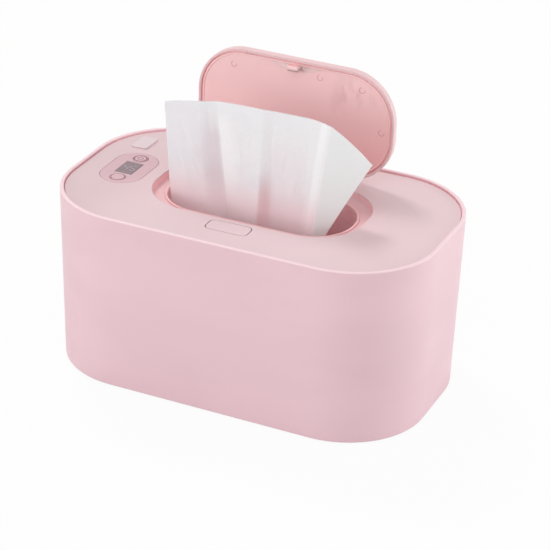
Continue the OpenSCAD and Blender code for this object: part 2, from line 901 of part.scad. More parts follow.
module control_board() {
    color(board_green) at_control() difference() {
        block([0, 0], [control_board_size.x, control_board_size.y, control_board_t], z_control_board);
        at_four(control_boss_at) post(small_r + head_play, z_control_board - 1, z_control_top + 1);
    }
}

module control_screws() {
    color(steel) at_control() at_four(control_boss_at) {
        post(small_head_r, z_control_board - small_head_t, z_control_board);
        post(small_r - press_fit, z_control_board - eps, z_control_board + small_len);
    }
}

module tactile_switches() {
    color(dark_plastic) at_control() at_keys() {
        block([0, 0], switch_size, z_control_top);
        post(plunger_r, z_control_top + switch_size.z - eps, z_plunger);
    }
}

module key_cap(side) {
    color(oval_pink) translate([control_x, side * key_pitch, 0]) {
        post(key_r, z_key_lo, z_panel + key_proud);
        post(key_r + key_flange, z_key_lo, z_key_lo + key_flange_t);
        post(plunger_r - 0.2, z_plunger + key_travel + touch_gap, z_key_lo + eps);
    }
}

module power_key() {
    key_cap(1);
}

module mode_key() {
    key_cap(-1);
}

// Wedge-shaped tab at the rear left of the panel, held by one peg
module lift_tab() {
    color(soft_white) translate([tab_at.x, tab_at.y, 0]) {
        intersection() {
            slab(tab_size.x, tab_size.y, tab_r, z_panel, z_panel + tab_ht[1]);
            along_y(tab_size.y + 1) polygon([
                [-tab_size.x / 2 - eps, z_panel - 1],
                [tab_size.x / 2 + eps, z_panel - 1],
                [tab_size.x / 2 + eps, z_panel + tab_ht[1]],
                [-tab_size.x / 2 - eps, z_panel + tab_ht[0]]
            ]);
        }
        post(tab_peg_r, z_panel_lo, z_panel + eps);
    }
}

// ---------------------------------------------------------------- release button and latch

module release_button() {
    color(cover_pink) {
        translate([0, button_y, 0]) {
            slab(button_len, button_dep, button_r, z_button_lo, z_panel);
            slab(button_len + 2 * button_flange, button_dep + 2 * button_flange,
                button_r + button_flange, z_button_lo, z_panel_lo - 2 * touch_gap);
        }
        along_x(stem_w) polygon([
            [stem_back, z_stem_lo],
            [ramp_at(z_stem_lo), z_stem_lo],
            [ramp_at(z_ramp_hi), z_ramp_hi],
            [ramp_at(z_ramp_hi), z_button_lo + eps],
            [stem_back, z_button_lo + eps]
        ]);
    }
}

// The ramp's place in Y at a height; it climbs at 45 degrees, so both travels are equal
function ramp_at(z) = ramp_y - (z - body_lo - 1);

module latch_slider() {
    window_back = stem_back + button_travel + slip_gap;
    color(cover_pink) difference() {
        union() {
            block([0, (slider_front + slider_back) / 2],
                [slider_w, slider_back - slider_front, body_hi - body_lo], body_lo);
            block([0, (slider_back - 1 + tip_y) / 2],
                [tip_w, tip_y - slider_back + 1, tongue_tip_t], slider_z - tongue_tip_t);
        }
        along_x(stem_w + 1) polygon([
            [window_back, body_lo - 1],
            [ramp_at(body_lo - 1) - ramp_gap, body_lo - 1],
            [ramp_at(body_hi + 1) - ramp_gap, body_hi + 1],
            [window_back, body_hi + 1]
        ]);
    }
}

module latch_retainer() {
    inner_w = slider_w + 2 * slip_gap;
    front = slider_front - latch_spring_len - retainer_wall;
    back = slider_back - 1;
    z_floor = z_retainer - retainer_t;
    z_wall = body_hi + 0.6;
    window_front = ramp_at(z_retainer + button_travel) - slip_gap - ramp_gap;
    window_back = stem_back + slip_gap;
    color(cover_pink) difference() {
        union() {
            block([0, (front + back) / 2],
                [inner_w + 2 * retainer_wall, back - front, z_wall - z_floor], z_floor);
            block([0, retainer_screw_y], [2 * retainer_ear.x, retainer_ear.y, retainer_t], z_floor);
        }
        block([0, (front + retainer_wall + back + 1) / 2],
            [inner_w, back + 1 - front - retainer_wall, z_wall - z_retainer + 1], z_retainer);
        block([0, (window_front + window_back) / 2],
            [stem_w + 1, window_back - window_front, retainer_t + 2], z_floor - 1);
        at_retainer_screws() post(small_r + head_play, z_floor - 1, z_retainer + 1);
    }
}

module latch_screws() {
    z_floor = z_retainer - retainer_t;
    color(steel) at_retainer_screws() {
        post(small_head_r, z_floor - small_head_t, z_floor);
        post(small_r - press_fit, z_floor - eps, z_floor + small_len);
    }
}

// Compression spring between the slider and the retainer's front wall
module latch_spring() {
    steps = 8 * latch_turns;
    run = latch_spring_len - 2 * (latch_wire_r + touch_gap);
    path = [
        for (i = [0 : steps])
        [latch_coil_r * cos(45 * i),
         slider_front - latch_wire_r - touch_gap - run * i / steps,
         (body_lo + body_hi) / 2 + latch_coil_r * sin(45 * i)]
    ];
    color(steel) wire(path, latch_wire_r, [0, 1, 0]);
}

// ---------------------------------------------------------------- flap and hinge

module flap_shell() {
    inner = [flap_len - 2 * flap_rim, flap_dep - 2 * flap_rim, flap_r - flap_rim];
    tongue_front = flap_dep / 2 - flap_rim;
    color(cover_pink) opened() difference() {
        union() {
            difference() {
                slab(flap_len, flap_dep, flap_r, z_flap_lo, z_panel);
                slab(inner.x, inner.y, inner.z, z_flap_lo - 1, z_panel - flap_skin);
            }
            block([0, (tongue_front + hinge_y) / 2],
                [tongue_w, hinge_y - tongue_front, tongue_t], z_panel - tongue_t);
            bar_x(barrel_r, tongue_w, [hinge_y, hinge_z]);
        }
        bar_x(pin_r + pin_fit, tongue_w + 2, [hinge_y, hinge_z]);
        block([0, hinge_y], [spring_gap, 2 * barrel_r + 2, 2 * barrel_r - tongue_t],
            hinge_z - barrel_r);
    }
}

module flap_liner() {
    half = [flap_len / 2 - flap_rim - groove_w, flap_dep / 2 - flap_rim - groove_w];
    r = flap_r - flap_rim - groove_w;
    color([0.90, 0.70, 0.71]) opened() {
        difference() {
            slab(2 * half.x, 2 * half.y, r, z_liner_face - bead_ht, z_panel - flap_skin);
            slab(2 * (half.x - bead_w), 2 * (half.y - bead_w), r - bead_w,
                z_liner_face - bead_ht - 1, z_liner_face);
        }
        slab(2 * (half.x + groove_w - press_fit), 2 * (half.y + groove_w - press_fit),
            r + groove_w - press_fit, z_flap_lo + groove_deep, z_panel - flap_skin);
        latch_pad(half.y - bead_w / 2, z_liner_face - pad_ht, z_liner_face + liner_face_t / 2);
        along_x(hook_w) hook_profile();
    }
}

// Lens-shaped pad round the hook, along the bead of the front edge
module latch_pad(front, lo, hi) {
    rise = pad_rise + bead_w / 2;
    arc_r = (pad_chord * pad_chord / 4 + rise * rise) / (2 * rise);
    intersection() {
        translate([0, rise - front - arc_r, 0]) post(arc_r, lo, hi);
        block([0, rise / 2 - front], [pad_chord + 2, rise + 2 * eps, hi - lo], lo);
    }
}

module hook_profile() {
    front = hook_y - hook_t;
    nose_front = front - nose_reach;
    polygon([
        [hook_y, z_liner_face + eps],
        [hook_y, z_nose - nose_t],
        [front, z_nose - nose_t],
        [nose_front, z_nose - 0.4],
        [nose_front, z_nose],
        [front, z_nose],
        [front, z_liner_face + eps]
    ]);
}

module hinge_pin() {
    color(steel) bar_x(pin_r, tongue_w + 2 * (ear_gap + ear_t), [hinge_y, hinge_z]);
}

// Torsion spring: one leg rests in the trough, the coil winds round the pin, one leg lifts the flap
module hinge_spring() {
    steps = 8 * hinge_turns + 2;
    coil = [
        for (i = [0 : steps])
        [-hinge_coil_len / 2 + hinge_coil_len * i / steps,
         hinge_y + hinge_coil_r * cos(-90 + 45 * i),
         hinge_z + hinge_coil_r * sin(-90 + 45 * i)]
    ];
    leg_in = [-hinge_coil_len / 2, hinge_y - trough_r + 0.9, hinge_z - hinge_coil_r];
    leg_out = [hinge_coil_len / 2, hinge_y + hinge_coil_r, hinge_z + hinge_back];
    color(steel) wire(concat([leg_in], coil, [leg_out]), hinge_wire_r, [1, 0, 0]);
}

// ---------------------------------------------------------------- wipe

// Folds of the main face: valleys and ridges along its width, as turns of a wave
function wipe_wave(s) =
    lookup(s, [[-0.1, 240], [0, 270], [0.17, 360], [0.36, 540], [0.65, 720], [1, 810], [1.1, 840]]);

// Main face: s runs from the left edge to the crease, v from foot to top
function wipe_face(s, v) =
    let (
        drift = 0.48 * (v - 0.5) * s * (1 - s),
        width = wipe_foot_w + (wipe_top_w - wipe_foot_w) * pow(v, 0.7),
        top_z = z_panel + wipe_rise - wipe_drop * pow(1 - s, 4) - 1.2 * pow(s, 12),
        foot_z = z_panel - wipe_tail
    )
    [wipe_x + (s - 0.5) * width - 1.35 * v,
     wipe_y + wipe_lean * v - wipe_fold * (1 - 0.7 * v * v) * cos(wipe_wave(s + drift)),
     foot_z + (top_z - foot_z) * v];

// Wing: turns back from the crease and falls to a point at its right end
function wipe_wing_at(t, v) =
    wipe_face(1, v)
    + t * wipe_wing * [0.21 + 0.79 * pow(v, 1.25), 0.18 + 0.27 * v, -1.04 * v]
    + [0, 0, 4 * t * (1 - t) * pow(v, 6)];

// A point of the wipe: u runs from left to right, v from foot to top edge
function wipe_point(u, v) =
    u <= wipe_crease
        ? wipe_face(u / wipe_crease, v)
        : wipe_wing_at((u - wipe_crease) / (1 - wipe_crease), v);

module wipe_sheet() {
    cols = wipe_cols;
    rows = wipe_rows;
    per_side = (cols + 1) * (rows + 1);
    points = [
        for (side = [-1, 1], j = [0 : rows], i = [0 : cols])
        wipe_point(i / cols, j / rows) + [0, side * wipe_t / 2, 0]
    ];
    function at(side, i, j) = side * per_side + j * (cols + 1) + i;
    function quad(a, b, c, d) = [[a, b, c], [a, c, d]];
    front = [
        for (j = [0 : rows - 1], i = [0 : cols - 1])
        each quad(at(0, i, j), at(0, i, j + 1), at(0, i + 1, j + 1), at(0, i + 1, j))
    ];
    back = [
        for (j = [0 : rows - 1], i = [0 : cols - 1])
        each quad(at(1, i, j), at(1, i + 1, j), at(1, i + 1, j + 1), at(1, i, j + 1))
    ];
    ends = [
        for (i = [0 : cols - 1])
        each concat(
            quad(at(0, i, 0), at(0, i + 1, 0), at(1, i + 1, 0), at(1, i, 0)),
            quad(at(0, i, rows), at(1, i, rows), at(1, i + 1, rows), at(0, i + 1, rows))
        )
    ];
    sides = [
        for (j = [0 : rows - 1])
        each concat(
            quad(at(0, 0, j), at(1, 0, j), at(1, 0, j + 1), at(0, 0, j + 1)),
            quad(at(0, cols, j), at(0, cols, j + 1), at(1, cols, j + 1), at(1, cols, j))
        )
    ];
    color([0.96, 0.95, 0.96]) polyhedron(points, concat(front, back, ends, sides));
}

// ---------------------------------------------------------------- the nodes

outer_casing();
base_plate();
rubber_feet();
base_screws();
inner_tub();
heat_plate();
heating_film();
temperature_sensor();
thermal_fuse();
insulation_pad();
main_board();
board_components();
board_screws();
power_socket();
heater_lead();
contact_ribbon();
base_contact_block();
contact_springs();
top_cover();
cover_liner();
cover_gasket();
cover_screws();
opening_seal();
control_panel();
display_window();
display_module();
control_board();
control_screws();
tactile_switches();
cover_contact_strip();
panel_lead();
lift_tab();
latch_retainer();
latch_screws();
latch_spring();
hinge_pin();
hinge_spring();
wipe_sheet();
flap_shell();
flap_liner();
release_button();
latch_slider();
power_key();
mode_key();
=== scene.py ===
import math

import bmesh
import bpy
from bpy.props import FloatProperty, FloatVectorProperty, PointerProperty
from bpy.types import Operator, Panel, PropertyGroup
from mathutils import Matrix, Vector


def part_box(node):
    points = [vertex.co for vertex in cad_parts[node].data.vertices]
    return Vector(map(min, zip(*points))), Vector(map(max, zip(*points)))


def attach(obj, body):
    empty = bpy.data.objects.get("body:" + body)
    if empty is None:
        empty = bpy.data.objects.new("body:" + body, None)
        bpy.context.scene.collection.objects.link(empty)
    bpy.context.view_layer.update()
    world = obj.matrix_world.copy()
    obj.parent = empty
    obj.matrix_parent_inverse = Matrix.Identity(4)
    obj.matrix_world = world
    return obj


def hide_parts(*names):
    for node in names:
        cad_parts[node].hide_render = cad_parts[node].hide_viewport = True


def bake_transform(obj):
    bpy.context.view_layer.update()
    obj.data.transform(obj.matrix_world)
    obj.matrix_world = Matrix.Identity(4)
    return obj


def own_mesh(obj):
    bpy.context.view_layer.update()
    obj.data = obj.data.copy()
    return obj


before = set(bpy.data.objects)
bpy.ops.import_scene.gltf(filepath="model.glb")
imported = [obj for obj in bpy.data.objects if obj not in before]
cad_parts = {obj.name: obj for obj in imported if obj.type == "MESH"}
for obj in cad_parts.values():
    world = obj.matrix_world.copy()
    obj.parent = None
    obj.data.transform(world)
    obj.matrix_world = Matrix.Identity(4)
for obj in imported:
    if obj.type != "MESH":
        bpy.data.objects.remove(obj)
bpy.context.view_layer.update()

bl_info = {
    "name": "Baby Wipe Warmer",
    "version": (1, 0, 0),
    "blender": (4, 5, 0),
    "location": "3D View > Sidebar > Wipe Warmer",
    "description": "Pieces, finishes and stage of a wipe warmer with its flap raised",
    "category": "Object",
}

MM = 0.001

# Places on the object that several pieces share, in millimetres
CORNER_AT, CORNER_R = (55, 15), 45  # the casing's corners: middle of the arc, radius
HINGE_Y, HINGE_Z = 36, 89
FLAP_FACE, FLAP_MIDDLE = 37.35, 125  # inner panel of the raised flap: its face, its middle height
WIPE_FOOT, WIPE_RISE = 80.1, 62.0  # foot of the wipe and how far it rises


def tone(red, green, blue):
    """A colour given as it is seen on a screen, 0 to 255, as linear values."""
    def linear(value):
        share = value / 255
        return share / 12.92 if share <= 0.04045 else ((share + 0.055) / 1.055) ** 2.4
    return tuple(linear(value) for value in (red, green, blue))


# -------------------- sizes and colours

def length(name, description, default, low, high):
    """A size in metres that the sidebar shows as a length."""
    return FloatProperty(name=name, description=description, default=default,
                         min=low, max=high, precision=5, unit="LENGTH", subtype="DISTANCE")


def colour(name, description, default):
    return FloatVectorProperty(name=name, description=description, default=default,
                               size=3, min=0, max=1, subtype="COLOR")


def lamp_power(name, description, default):
    return FloatProperty(name=name, description=description, default=default, min=0, max=30,
                         unit="POWER")


class WarmerSizes(PropertyGroup):
    rim_round: length("Rim rounding", "Rounding of the casing's rim and foot",
                      0.0007, 0.0001, 0.0009)
    recess_round: length("Recess rounding", "Rounding of the edge of the flap's recess",
                         0.0004, 0.0002, 0.0008)
    edge_round: length("Edge rounding", "Rounding of the smaller moulded edges",
                       0.00022, 0.00005, 0.0003)
    flap_round: length("Flap rounding", "Rounding of the flap's rim", 0.0007, 0.0002, 0.0008)
    wipe_thickness: length("Wipe thickness", "Thickness of the wipe", 0.00035, 0.0002, 0.0006)
    digit_height: length("Digit height", "Height of a digit in the display", 0.005, 0.003, 0.006)
    # Width of the power sign's strokes and of the dark rings round the keys, which are painted
    # shade of the gaps
    line_width: length("Line width", "Width of the drawn lines round the keys",
                       0.00035, 0.0002, 0.0006)


class WarmerColours(PropertyGroup):
    casing: colour("Casing", "Moulded casing and base", tone(234, 200, 207))
    cover: colour("Cover", "Cover panel", tone(232, 207, 210))
    # Colour of the painted shade in the recess and in the collar under it
    recess: colour("Recess", "Recess and collar of the cover", tone(251, 199, 202))
    seal: colour("Seal", "Ring round the opening", tone(254, 204, 206))
    oval: colour("Control oval", "Control oval and its keys", tone(218, 183, 190))
    flap: colour("Flap", "Outer tray of the flap", tone(240, 205, 207))
    flap_inner: colour("Flap inside", "Inner panel of the flap", tone(255, 212, 212))
    tub: colour("Tub", "Tub inside the casing", tone(250, 196, 198))
    tab: colour("Lift tab", "Pale tab at the rear left", tone(228, 210, 214))
    window: colour("Window", "Display window", tone(128, 106, 113))
    # Colour of the signs on the keys and of the painted shade in the gaps round them
    line: colour("Lines", "Lines and signs on the keys", tone(132, 92, 102))
    wipe: colour("Wipe", "Damp nonwoven wipe", tone(240, 244, 246))


class WarmerStage(PropertyGroup):
    sky: FloatProperty(name="Ambient light", description="Light from all round", default=0.6,
                       min=0, max=1.5)
    back_lamp: lamp_power("Back lamp", "Lamp above and behind on the left", 8.8)
    side_lamp: lamp_power("Side lamp", "Lamp on the right, towards the rear", 7.6)
    front_lamp: lamp_power("Front lamp", "Lamp in front on the left", 5.0)
    fill_lamp: lamp_power("Fill lamp", "Large lamp above the front", 3.0)
    floor_size: length("Floor size", "Side of the square floor", 6.0, 1.0, 20.0)


# -------------------- shader maths

class Value:
    """A shader socket whose maths is written with Python's operators."""

    def __init__(self, finish, socket):
        self.finish = finish
        self.socket = socket

    def maths(self, operation, first, second=None):
        inputs = {0: first} if second is None else {0: first, 1: second}
        return self.finish.add("ShaderNodeMath", {"operation": operation}, inputs)

    def __add__(self, other):
        return self.maths("ADD", self, other)

    def __radd__(self, other):
        return self.maths("ADD", other, self)

    def __sub__(self, other):
        return self.maths("SUBTRACT", self, other)

    def __rsub__(self, other):
        return self.maths("SUBTRACT", other, self)

    def __mul__(self, other):
        return self.maths("MULTIPLY", self, other)

    def __rmul__(self, other):
        return self.maths("MULTIPLY", other, self)

    def __truediv__(self, other):
        return self.maths("DIVIDE", self, other)

    def __rtruediv__(self, other):
        return self.maths("DIVIDE", other, self)

    def __pow__(self, other):
        return self.maths("POWER", self, other)


class Finish:
    """A material, or a world, that is built from sockets and expressions."""

    def __init__(self, name, store=None):
        self.holder = (bpy.data.materials if store is None else store).new(name)
        self.holder.use_nodes = True
        self.tree = self.holder.node_tree
        self.tree.nodes.clear()

    def add(self, kind, options=None, inputs=None, output=0):
        node = self.tree.nodes.new(kind)
        for key, value in (options or {}).items():
            setattr(node, key, value)
        for key, value in (inputs or {}).items():
            if isinstance(value, Value):
                self.tree.links.new(value.socket, node.inputs[key])
            else:
                node.inputs[key].default_value = value
        return Value(self, node.outputs[output]) if node.outputs else None

    def place(self, stretch=(1, 1, 1)):
        """Where a point is on the object, in millimetres, stretched along each axis."""
        where = self.add("ShaderNodeTexCoord", output="Object")
        scale = tuple(share / MM for share in stretch)
        return self.add("ShaderNodeVectorMath", {"operation": "MULTIPLY"}, {0: where, 1: scale})

    def noise(self, where, scale, detail=2.0, roughness=0.5):
        return self.add("ShaderNodeTexNoise", {"noise_dimensions": "3D"}, {
            "Vector": where, "Scale": scale, "Detail": detail, "Roughness": roughness})

    def cells(self, where, scale):
        return self.add("ShaderNodeTexVoronoi", {"feature": "F1"},
                        {"Vector": where, "Scale": scale})

    def stripes(self, where, scale, distortion=0.0, direction="X"):
        return self.add("ShaderNodeTexWave", {"wave_type": "BANDS", "bands_direction": direction},
                        {"Vector": where, "Scale": scale, "Distortion": distortion})

    def between(self, value, low, high):
        """0 below low, 1 above high, smooth between them."""
        return self.add("ShaderNodeMapRange", {"interpolation_type": "SMOOTHSTEP"},
                        {"Value": value, "From Min": low, "From Max": high})

    def mix(self, share, first, second):
        def full(value):
            return value if isinstance(value, Value) else (*value[:3], 1)
        return self.add("ShaderNodeMix", {"data_type": "RGBA"},
                        {"Factor": share, 6: full(first), 7: full(second)}, output=2)

    def layers(self, base, *layers):
        """Colours, as seen on a screen, that lie over a base by their shares."""
        for share, shade in layers:
            base = self.mix(share, base, tone(*shade))
        return base

    def bump(self, height, distance):
        return self.add("ShaderNodeBump", None,
                        {"Height": height, "Distance": distance, "Strength": 1.0})

    def light_path(self, ray):
        return self.add("ShaderNodeLightPath", output=ray)

    def axis(self, where, name):
        return self.add("ShaderNodeSeparateXYZ", None, {"Vector": where}, output=name)

    def surface(self, **sockets):
        """The finished surface; a socket is named with _ for each space."""
        inputs = {key.replace("_", " "): value for key, value in sockets.items()}
        return self.output(self.add("ShaderNodeBsdfPrincipled", None, inputs))

    def output(self, shader, kind="ShaderNodeOutputMaterial"):
        self.add(kind, None, {"Surface": shader})
        return self.holder


def absolute(value):
    return value.maths("ABSOLUTE", value)


def at_least(value, limit):
    return value.maths("MAXIMUM", value, limit)


def scaled(rgb, share):
    return tuple(min(1.0, value * share) for value in rgb)


# -------------------- finishes

def moulded_plastic(name, rgb, roughness=0.42, blush=0.03, deep=None, rim_highlight_and_shade=None, gloss=0.4,
                    left=0.0):
    """Satin moulded plastic: fine spark-eroded grain, soft flow marks and slight gloss changes.
    blush is how strong the flow marks are, and left how much painted shade darkens the left end.
    deep: the colour of painted shade in hollows, the two heights between which it comes in, and the
    height of a ledge, on which it is weaker.
    For the rim: the colour of a painted highlight along the top edge, the height above which it
    shows, the colour of painted shade on the rim's inner face."""
    f = Finish(name)
    where = f.place()
    flow = f.noise(f.place((0.4, 0.4, 1.0)), 0.03, 3.0)
    grain_height = f.noise(where, 2.6, 3.0, 0.6)
    patches = f.noise(where, 0.16, 2.0)
    base = f.mix(f.between(flow, 0.35, 0.65), scaled(rgb, 1 - blush), scaled(rgb, 1 + blush * 0.4))
    # Painted shade that darkens the left end
    if left:
        base = f.mix(f.between(f.axis(where, "X"), -45, -80), base, scaled(rgb, 1 - left))
    height = f.axis(where, "Z")
    # Painted shade in hollows, weaker on the ledge
    if deep:
        hollow, top, low, ledge = deep
        on_ledge = f.between(height, ledge + 0.9, ledge + 0.4)
        on_ledge = on_ledge * f.between(height, ledge - 0.6, ledge - 0.2)
        base = f.mix(f.between(height, top, low) * (1 - 0.55 * on_ledge), base, hollow)
    # Painted highlight along the top edge and painted shade on the rim's inner face
    if rim_highlight_and_shade:
        crest_highlight, above, shade = rim_highlight_and_shade
        base = f.mix(0.8 * f.between(height, above, above + 0.35), base, crest_highlight)
        beside = at_least(absolute(f.axis(where, "X")) - CORNER_AT[0], 0.0)
        behind = at_least(absolute(f.axis(where, "Y")) - CORNER_AT[1], 0.0)
        inside = f.between((beside * beside + behind * behind) ** 0.5 - CORNER_R, -1.6, -1.9)
        inside = inside * f.between(height, 90, 91) * f.between(height, above, above - 0.2)
        base = f.mix(inside, base, shade)
    return f.surface(
        Base_Color=base,
        Roughness=roughness - 0.05 + 0.08 * patches + 0.03 * grain_height,
        Normal=f.bump(grain_height, 0.006 * MM),
        Specular_IOR_Level=gloss)


def flap_inside(rgb):
    """Inner panel of the flap: glossier, with cloudy damp, painted shade to the lower right and in
    the groove, a painted reflection on the latch pad and a painted highlight on the bead.
    """
    f = Finish("flap_inside_plastic")
    where = f.place()
    across, up = f.axis(where, "X"), f.axis(where, "Z")
    clouds = f.noise(f.place((1.0, 1.0, 0.55)), 0.11, 3.0, 0.6)
    damp_x, damp_z = 31, 139
    spot = ((across - damp_x) * (across - damp_x) + (up - damp_z) * (up - damp_z)) ** 0.5
    damp = (1 - f.between(spot, 3, 17)) * f.between(clouds, 0.46, 0.66)

    # Latch pad: a lens between the bead and an arc, with a painted reflection on it
    rise, chord, front = 4.35, 30.0, 26.85
    pad_r = (chord * chord / 4 + rise * rise) / (2 * rise)
    pad_up = FLAP_MIDDLE + front + pad_r - rise
    pad = (across * across + (up - pad_up) * (up - pad_up)) ** 0.5
    matte_pad_reflection = (1 - f.between(pad, pad_r - 0.4, pad_r + 0.2)) * (1 - f.between(up, 151.2, 151.6))

    # Bead: the last 0.7 mm inside a rounded rectangle, with a painted highlight
    half_length, half_height, corner = 51.9, 27.2, 23.2
    beside = at_least(absolute(across) - (half_length - corner), 0.0)
    above = at_least(absolute(up - FLAP_MIDDLE) - (half_height - corner), 0.0)
    edge = (beside * beside + above * above) ** 0.5 - corner
    bead = f.between(edge, -0.95, -0.6)

    # Painted shade, deeper pink, towards the lower right
    low = f.between(up, 150, 98)
    right = f.between(across, -20, 50)
    base = f.mix(0.4 * f.between(clouds, 0.3, 0.7), rgb, scaled(rgb, 0.97))
    base = f.mix(low * (0.4 + 0.4 * right), base, (rgb[0] * 0.99, rgb[1] * 0.79, rgb[2] * 0.78))
    # Damp spots, painted reflection on the pad, painted highlight on the bead and painted shade in
    # the groove beyond it
    base = f.layers(
        base, (0.4 * damp, (216, 170, 176)), (0.75 * matte_pad_reflection, (234, 206, 204)),
        (0.6 * bead, (255, 218, 218)), (0.8 * f.between(edge, 0.1, 0.3), (255, 168, 170)))
    grain = f.noise(where, 1.9, 2.0)
    return f.surface(
        Base_Color=base, Roughness=0.34 + 0.1 * clouds + 0.1 * damp + 0.12 * matte_pad_reflection,
        Normal=f.bump(grain, 0.005 * MM), Specular_IOR_Level=0.45)


def soft_rubber(name, rgb, roughness=0.6):
    f = Finish(name)
    where = f.place()
    grain = f.noise(where, 1.7, 4.0, 0.65)
    base = f.mix(f.noise(where, 0.2, 2.0), scaled(rgb, 0.93), scaled(rgb, 1.03))
    return f.surface(Base_Color=base, Roughness=roughness + 0.12 * grain,
                     Normal=f.bump(grain, 0.012 * MM), Sheen_Weight=0.15, Sheen_Roughness=0.5)


def smoked_window(rgb):
    """Tinted display window with a glossy face and faint haze under it."""
    f = Finish("display_window_plastic")
    where = f.place()
    haze = f.noise(where, 0.22, 3.0, 0.6)
    fine = f.noise(where, 2.2, 2.0)
    base = f.mix(f.between(haze, 0.35, 0.7), scaled(rgb, 0.92), scaled(rgb, 1.12))
    return f.surface(Base_Color=base, Roughness=0.22 + 0.1 * fine, Coat_Weight=0.25,
                     Coat_Roughness=0.12, Normal=f.bump(fine, 0.002 * MM))


def printed_line(name, rgb):
    f = Finish(name)
    where = f.place()
    ink = f.noise(where, 1.4, 3.0)
    return f.surface(Base_Color=f.mix(ink, scaled(rgb, 0.9), scaled(rgb, 1.12)),
                     Roughness=0.5 + 0.15 * ink, Normal=f.bump(ink, 0.004 * MM))


def nonwoven(rgb):
    """Damp spunlace wipe: crossed fibres, damp places, painted shade in its folds, painted light
    along its creases and on its turned-back edge, and a painted pink reflection at its foot.
    """
    f = Finish("damp_nonwoven")
    where = f.place()
    tilted = f.place((0.5, 1.0, 2.2))
    crossed = f.place((2.2, 1.0, 0.5))
    fibres = f.noise(tilted, 1.3, 4.0, 0.7) + f.noise(crossed, 1.1, 4.0, 0.7)
    loose = f.noise(where, 0.5, 3.0, 0.6)
    damp = f.noise(where, 0.06, 3.0, 0.55)
    across, height = f.axis(where, "X"), f.axis(where, "Z")
    rise = (height - WIPE_FOOT) / WIPE_RISE

    def beside(foot, top):
        return across - (foot + (top - foot) * rise)

    crease = beside(-12.7, -23.7)
    turn = beside(32, 38.4)
    # Masks of painted shade: the fold, the valley and the middle band
    fold_shade = f.between(beside(-27, -33), -6, 7) * (1 - f.between(crease, -1.8, 0.8))
    fold_shade = fold_shade * (1 - f.between(rise, 0.7, 0.94))
    valley_shade = f.between(beside(3.3, 2.4), -0.6, 1.6) * (1 - f.between(beside(9.7, 7.8), -3, 3))
    valley_shade = valley_shade * (1 - f.between(rise, 0.25, 0.62))
    middle = f.between(beside(5, 4), 0, 6) * (1 - f.between(beside(26, 28), -4, 2))
    middle = middle * f.between(rise, 0.95, 0.6)
    # Masks of painted highlights on the crease and the ridge, and of painted light on the whole
    # wing
    crease_highlight = f.between(crease, -0.3, 0.7) * (1 - f.between(crease, 2, 12))
    ridge_highlight = f.between(beside(26.5, 32), 0, 2.5) * (1 - f.between(turn, 0.2, 1.6))
    wing = f.between(turn, 0.3, 1.6)
    base = f.mix(f.between(fibres * 0.5, 0.4, 0.62), scaled(rgb, 0.955), rgb)
    # Painted pink reflection rising from the foot, with a ragged damp edge, weaker on the wing
    foot_pink_reflection = f.between(height + 10 * damp, 122, 97) * (1 - 0.85 * wing)
    # Over the fibres: damp patches, greyer towards the left edge, painted shade in the middle band,
    # fold and valley, painted highlights on the crease and ridge, painted light on the wing and a
    # painted pink reflection at the foot
    base = f.layers(
        base,
        (0.35 * f.between(damp, 0.45, 0.7), (230, 229, 235)),
        (0.5 * (1 - f.between(across, -36, -26)), (229, 229, 234)),
        (0.35 * middle, (236, 224, 230)),
        (0.6 * fold_shade * (1.1 - rise * 0.5) * f.between(height, 90, 108), (216, 196, 204)),
        (0.7 * valley_shade, (214, 178, 180)),
        (0.8 * crease_highlight * f.between(rise, 0.98, 0.8), (251, 254, 255)),
        (0.8 * ridge_highlight, (248, 254, 255)),
        (0.8 * wing, (242, 252, 251)),
        (0.6 * foot_pink_reflection * foot_pink_reflection, (250, 214, 219)))
    return f.surface(
        Base_Color=base, Roughness=0.78 + 0.12 * loose,
        Normal=f.bump(fibres * 0.7 + loose * 0.6, 0.16 * MM),
        Subsurface_Weight=0.35, Subsurface_Radius=(1.0, 0.85, 0.85), Subsurface_Scale=0.0012,
        Sheen_Weight=0.2, Sheen_Roughness=0.6, Specular_IOR_Level=0.25)


def bright_steel():
    f = Finish("plated_steel")
    drawn = f.noise(f.place((0.15, 3.0, 3.0)), 1.2, 3.0)
    return f.surface(Base_Color=f.mix(drawn, tone(178, 180, 184), tone(205, 206, 210)),
                     Metallic=1.0, Roughness=0.22 + 0.16 * drawn,
                     Normal=f.bump(drawn, 0.004 * MM))


def rolled_aluminium():
    f = Finish("rolled_aluminium")
    rolled = f.noise(f.place((0.06, 3.5, 1.0)), 1.0, 4.0, 0.6)
    return f.surface(Base_Color=f.mix(rolled, tone(190, 192, 194), tone(220, 221, 223)),
                     Metallic=1.0, Roughness=0.32 + 0.18 * rolled,
                     Normal=f.bump(rolled, 0.006 * MM))


def heater_film():
    """Amber film with the heater's meandering track inside."""
    f = Finish("heater_film")
    where = f.place()
    track = f.between(f.stripes(where, 0.08, 0.0, "Y"), 0.42, 0.5)
    ripple = f.noise(where, 0.3, 2.0)
    base = f.mix(track, tone(206, 118, 38), tone(150, 92, 60))
    return f.surface(Base_Color=base, Roughness=0.25 + 0.12 * ripple, Coat_Weight=0.3,
                     Normal=f.bump(track * 0.6 + ripple * 0.4, 0.02 * MM))


def open_foam():
    f = Finish("insulating_foam")
    where = f.place()
    pores = f.cells(where, 0.9)
    wide = f.noise(where, 0.15, 2.0)
    base = f.mix(f.between(pores, 0.1, 0.6), tone(196, 190, 188), tone(236, 232, 230))
    return f.surface(Base_Color=f.mix(0.25 * wide, base, tone(222, 214, 206)), Roughness=0.92,
                     Normal=f.bump(pores, 0.3 * MM))


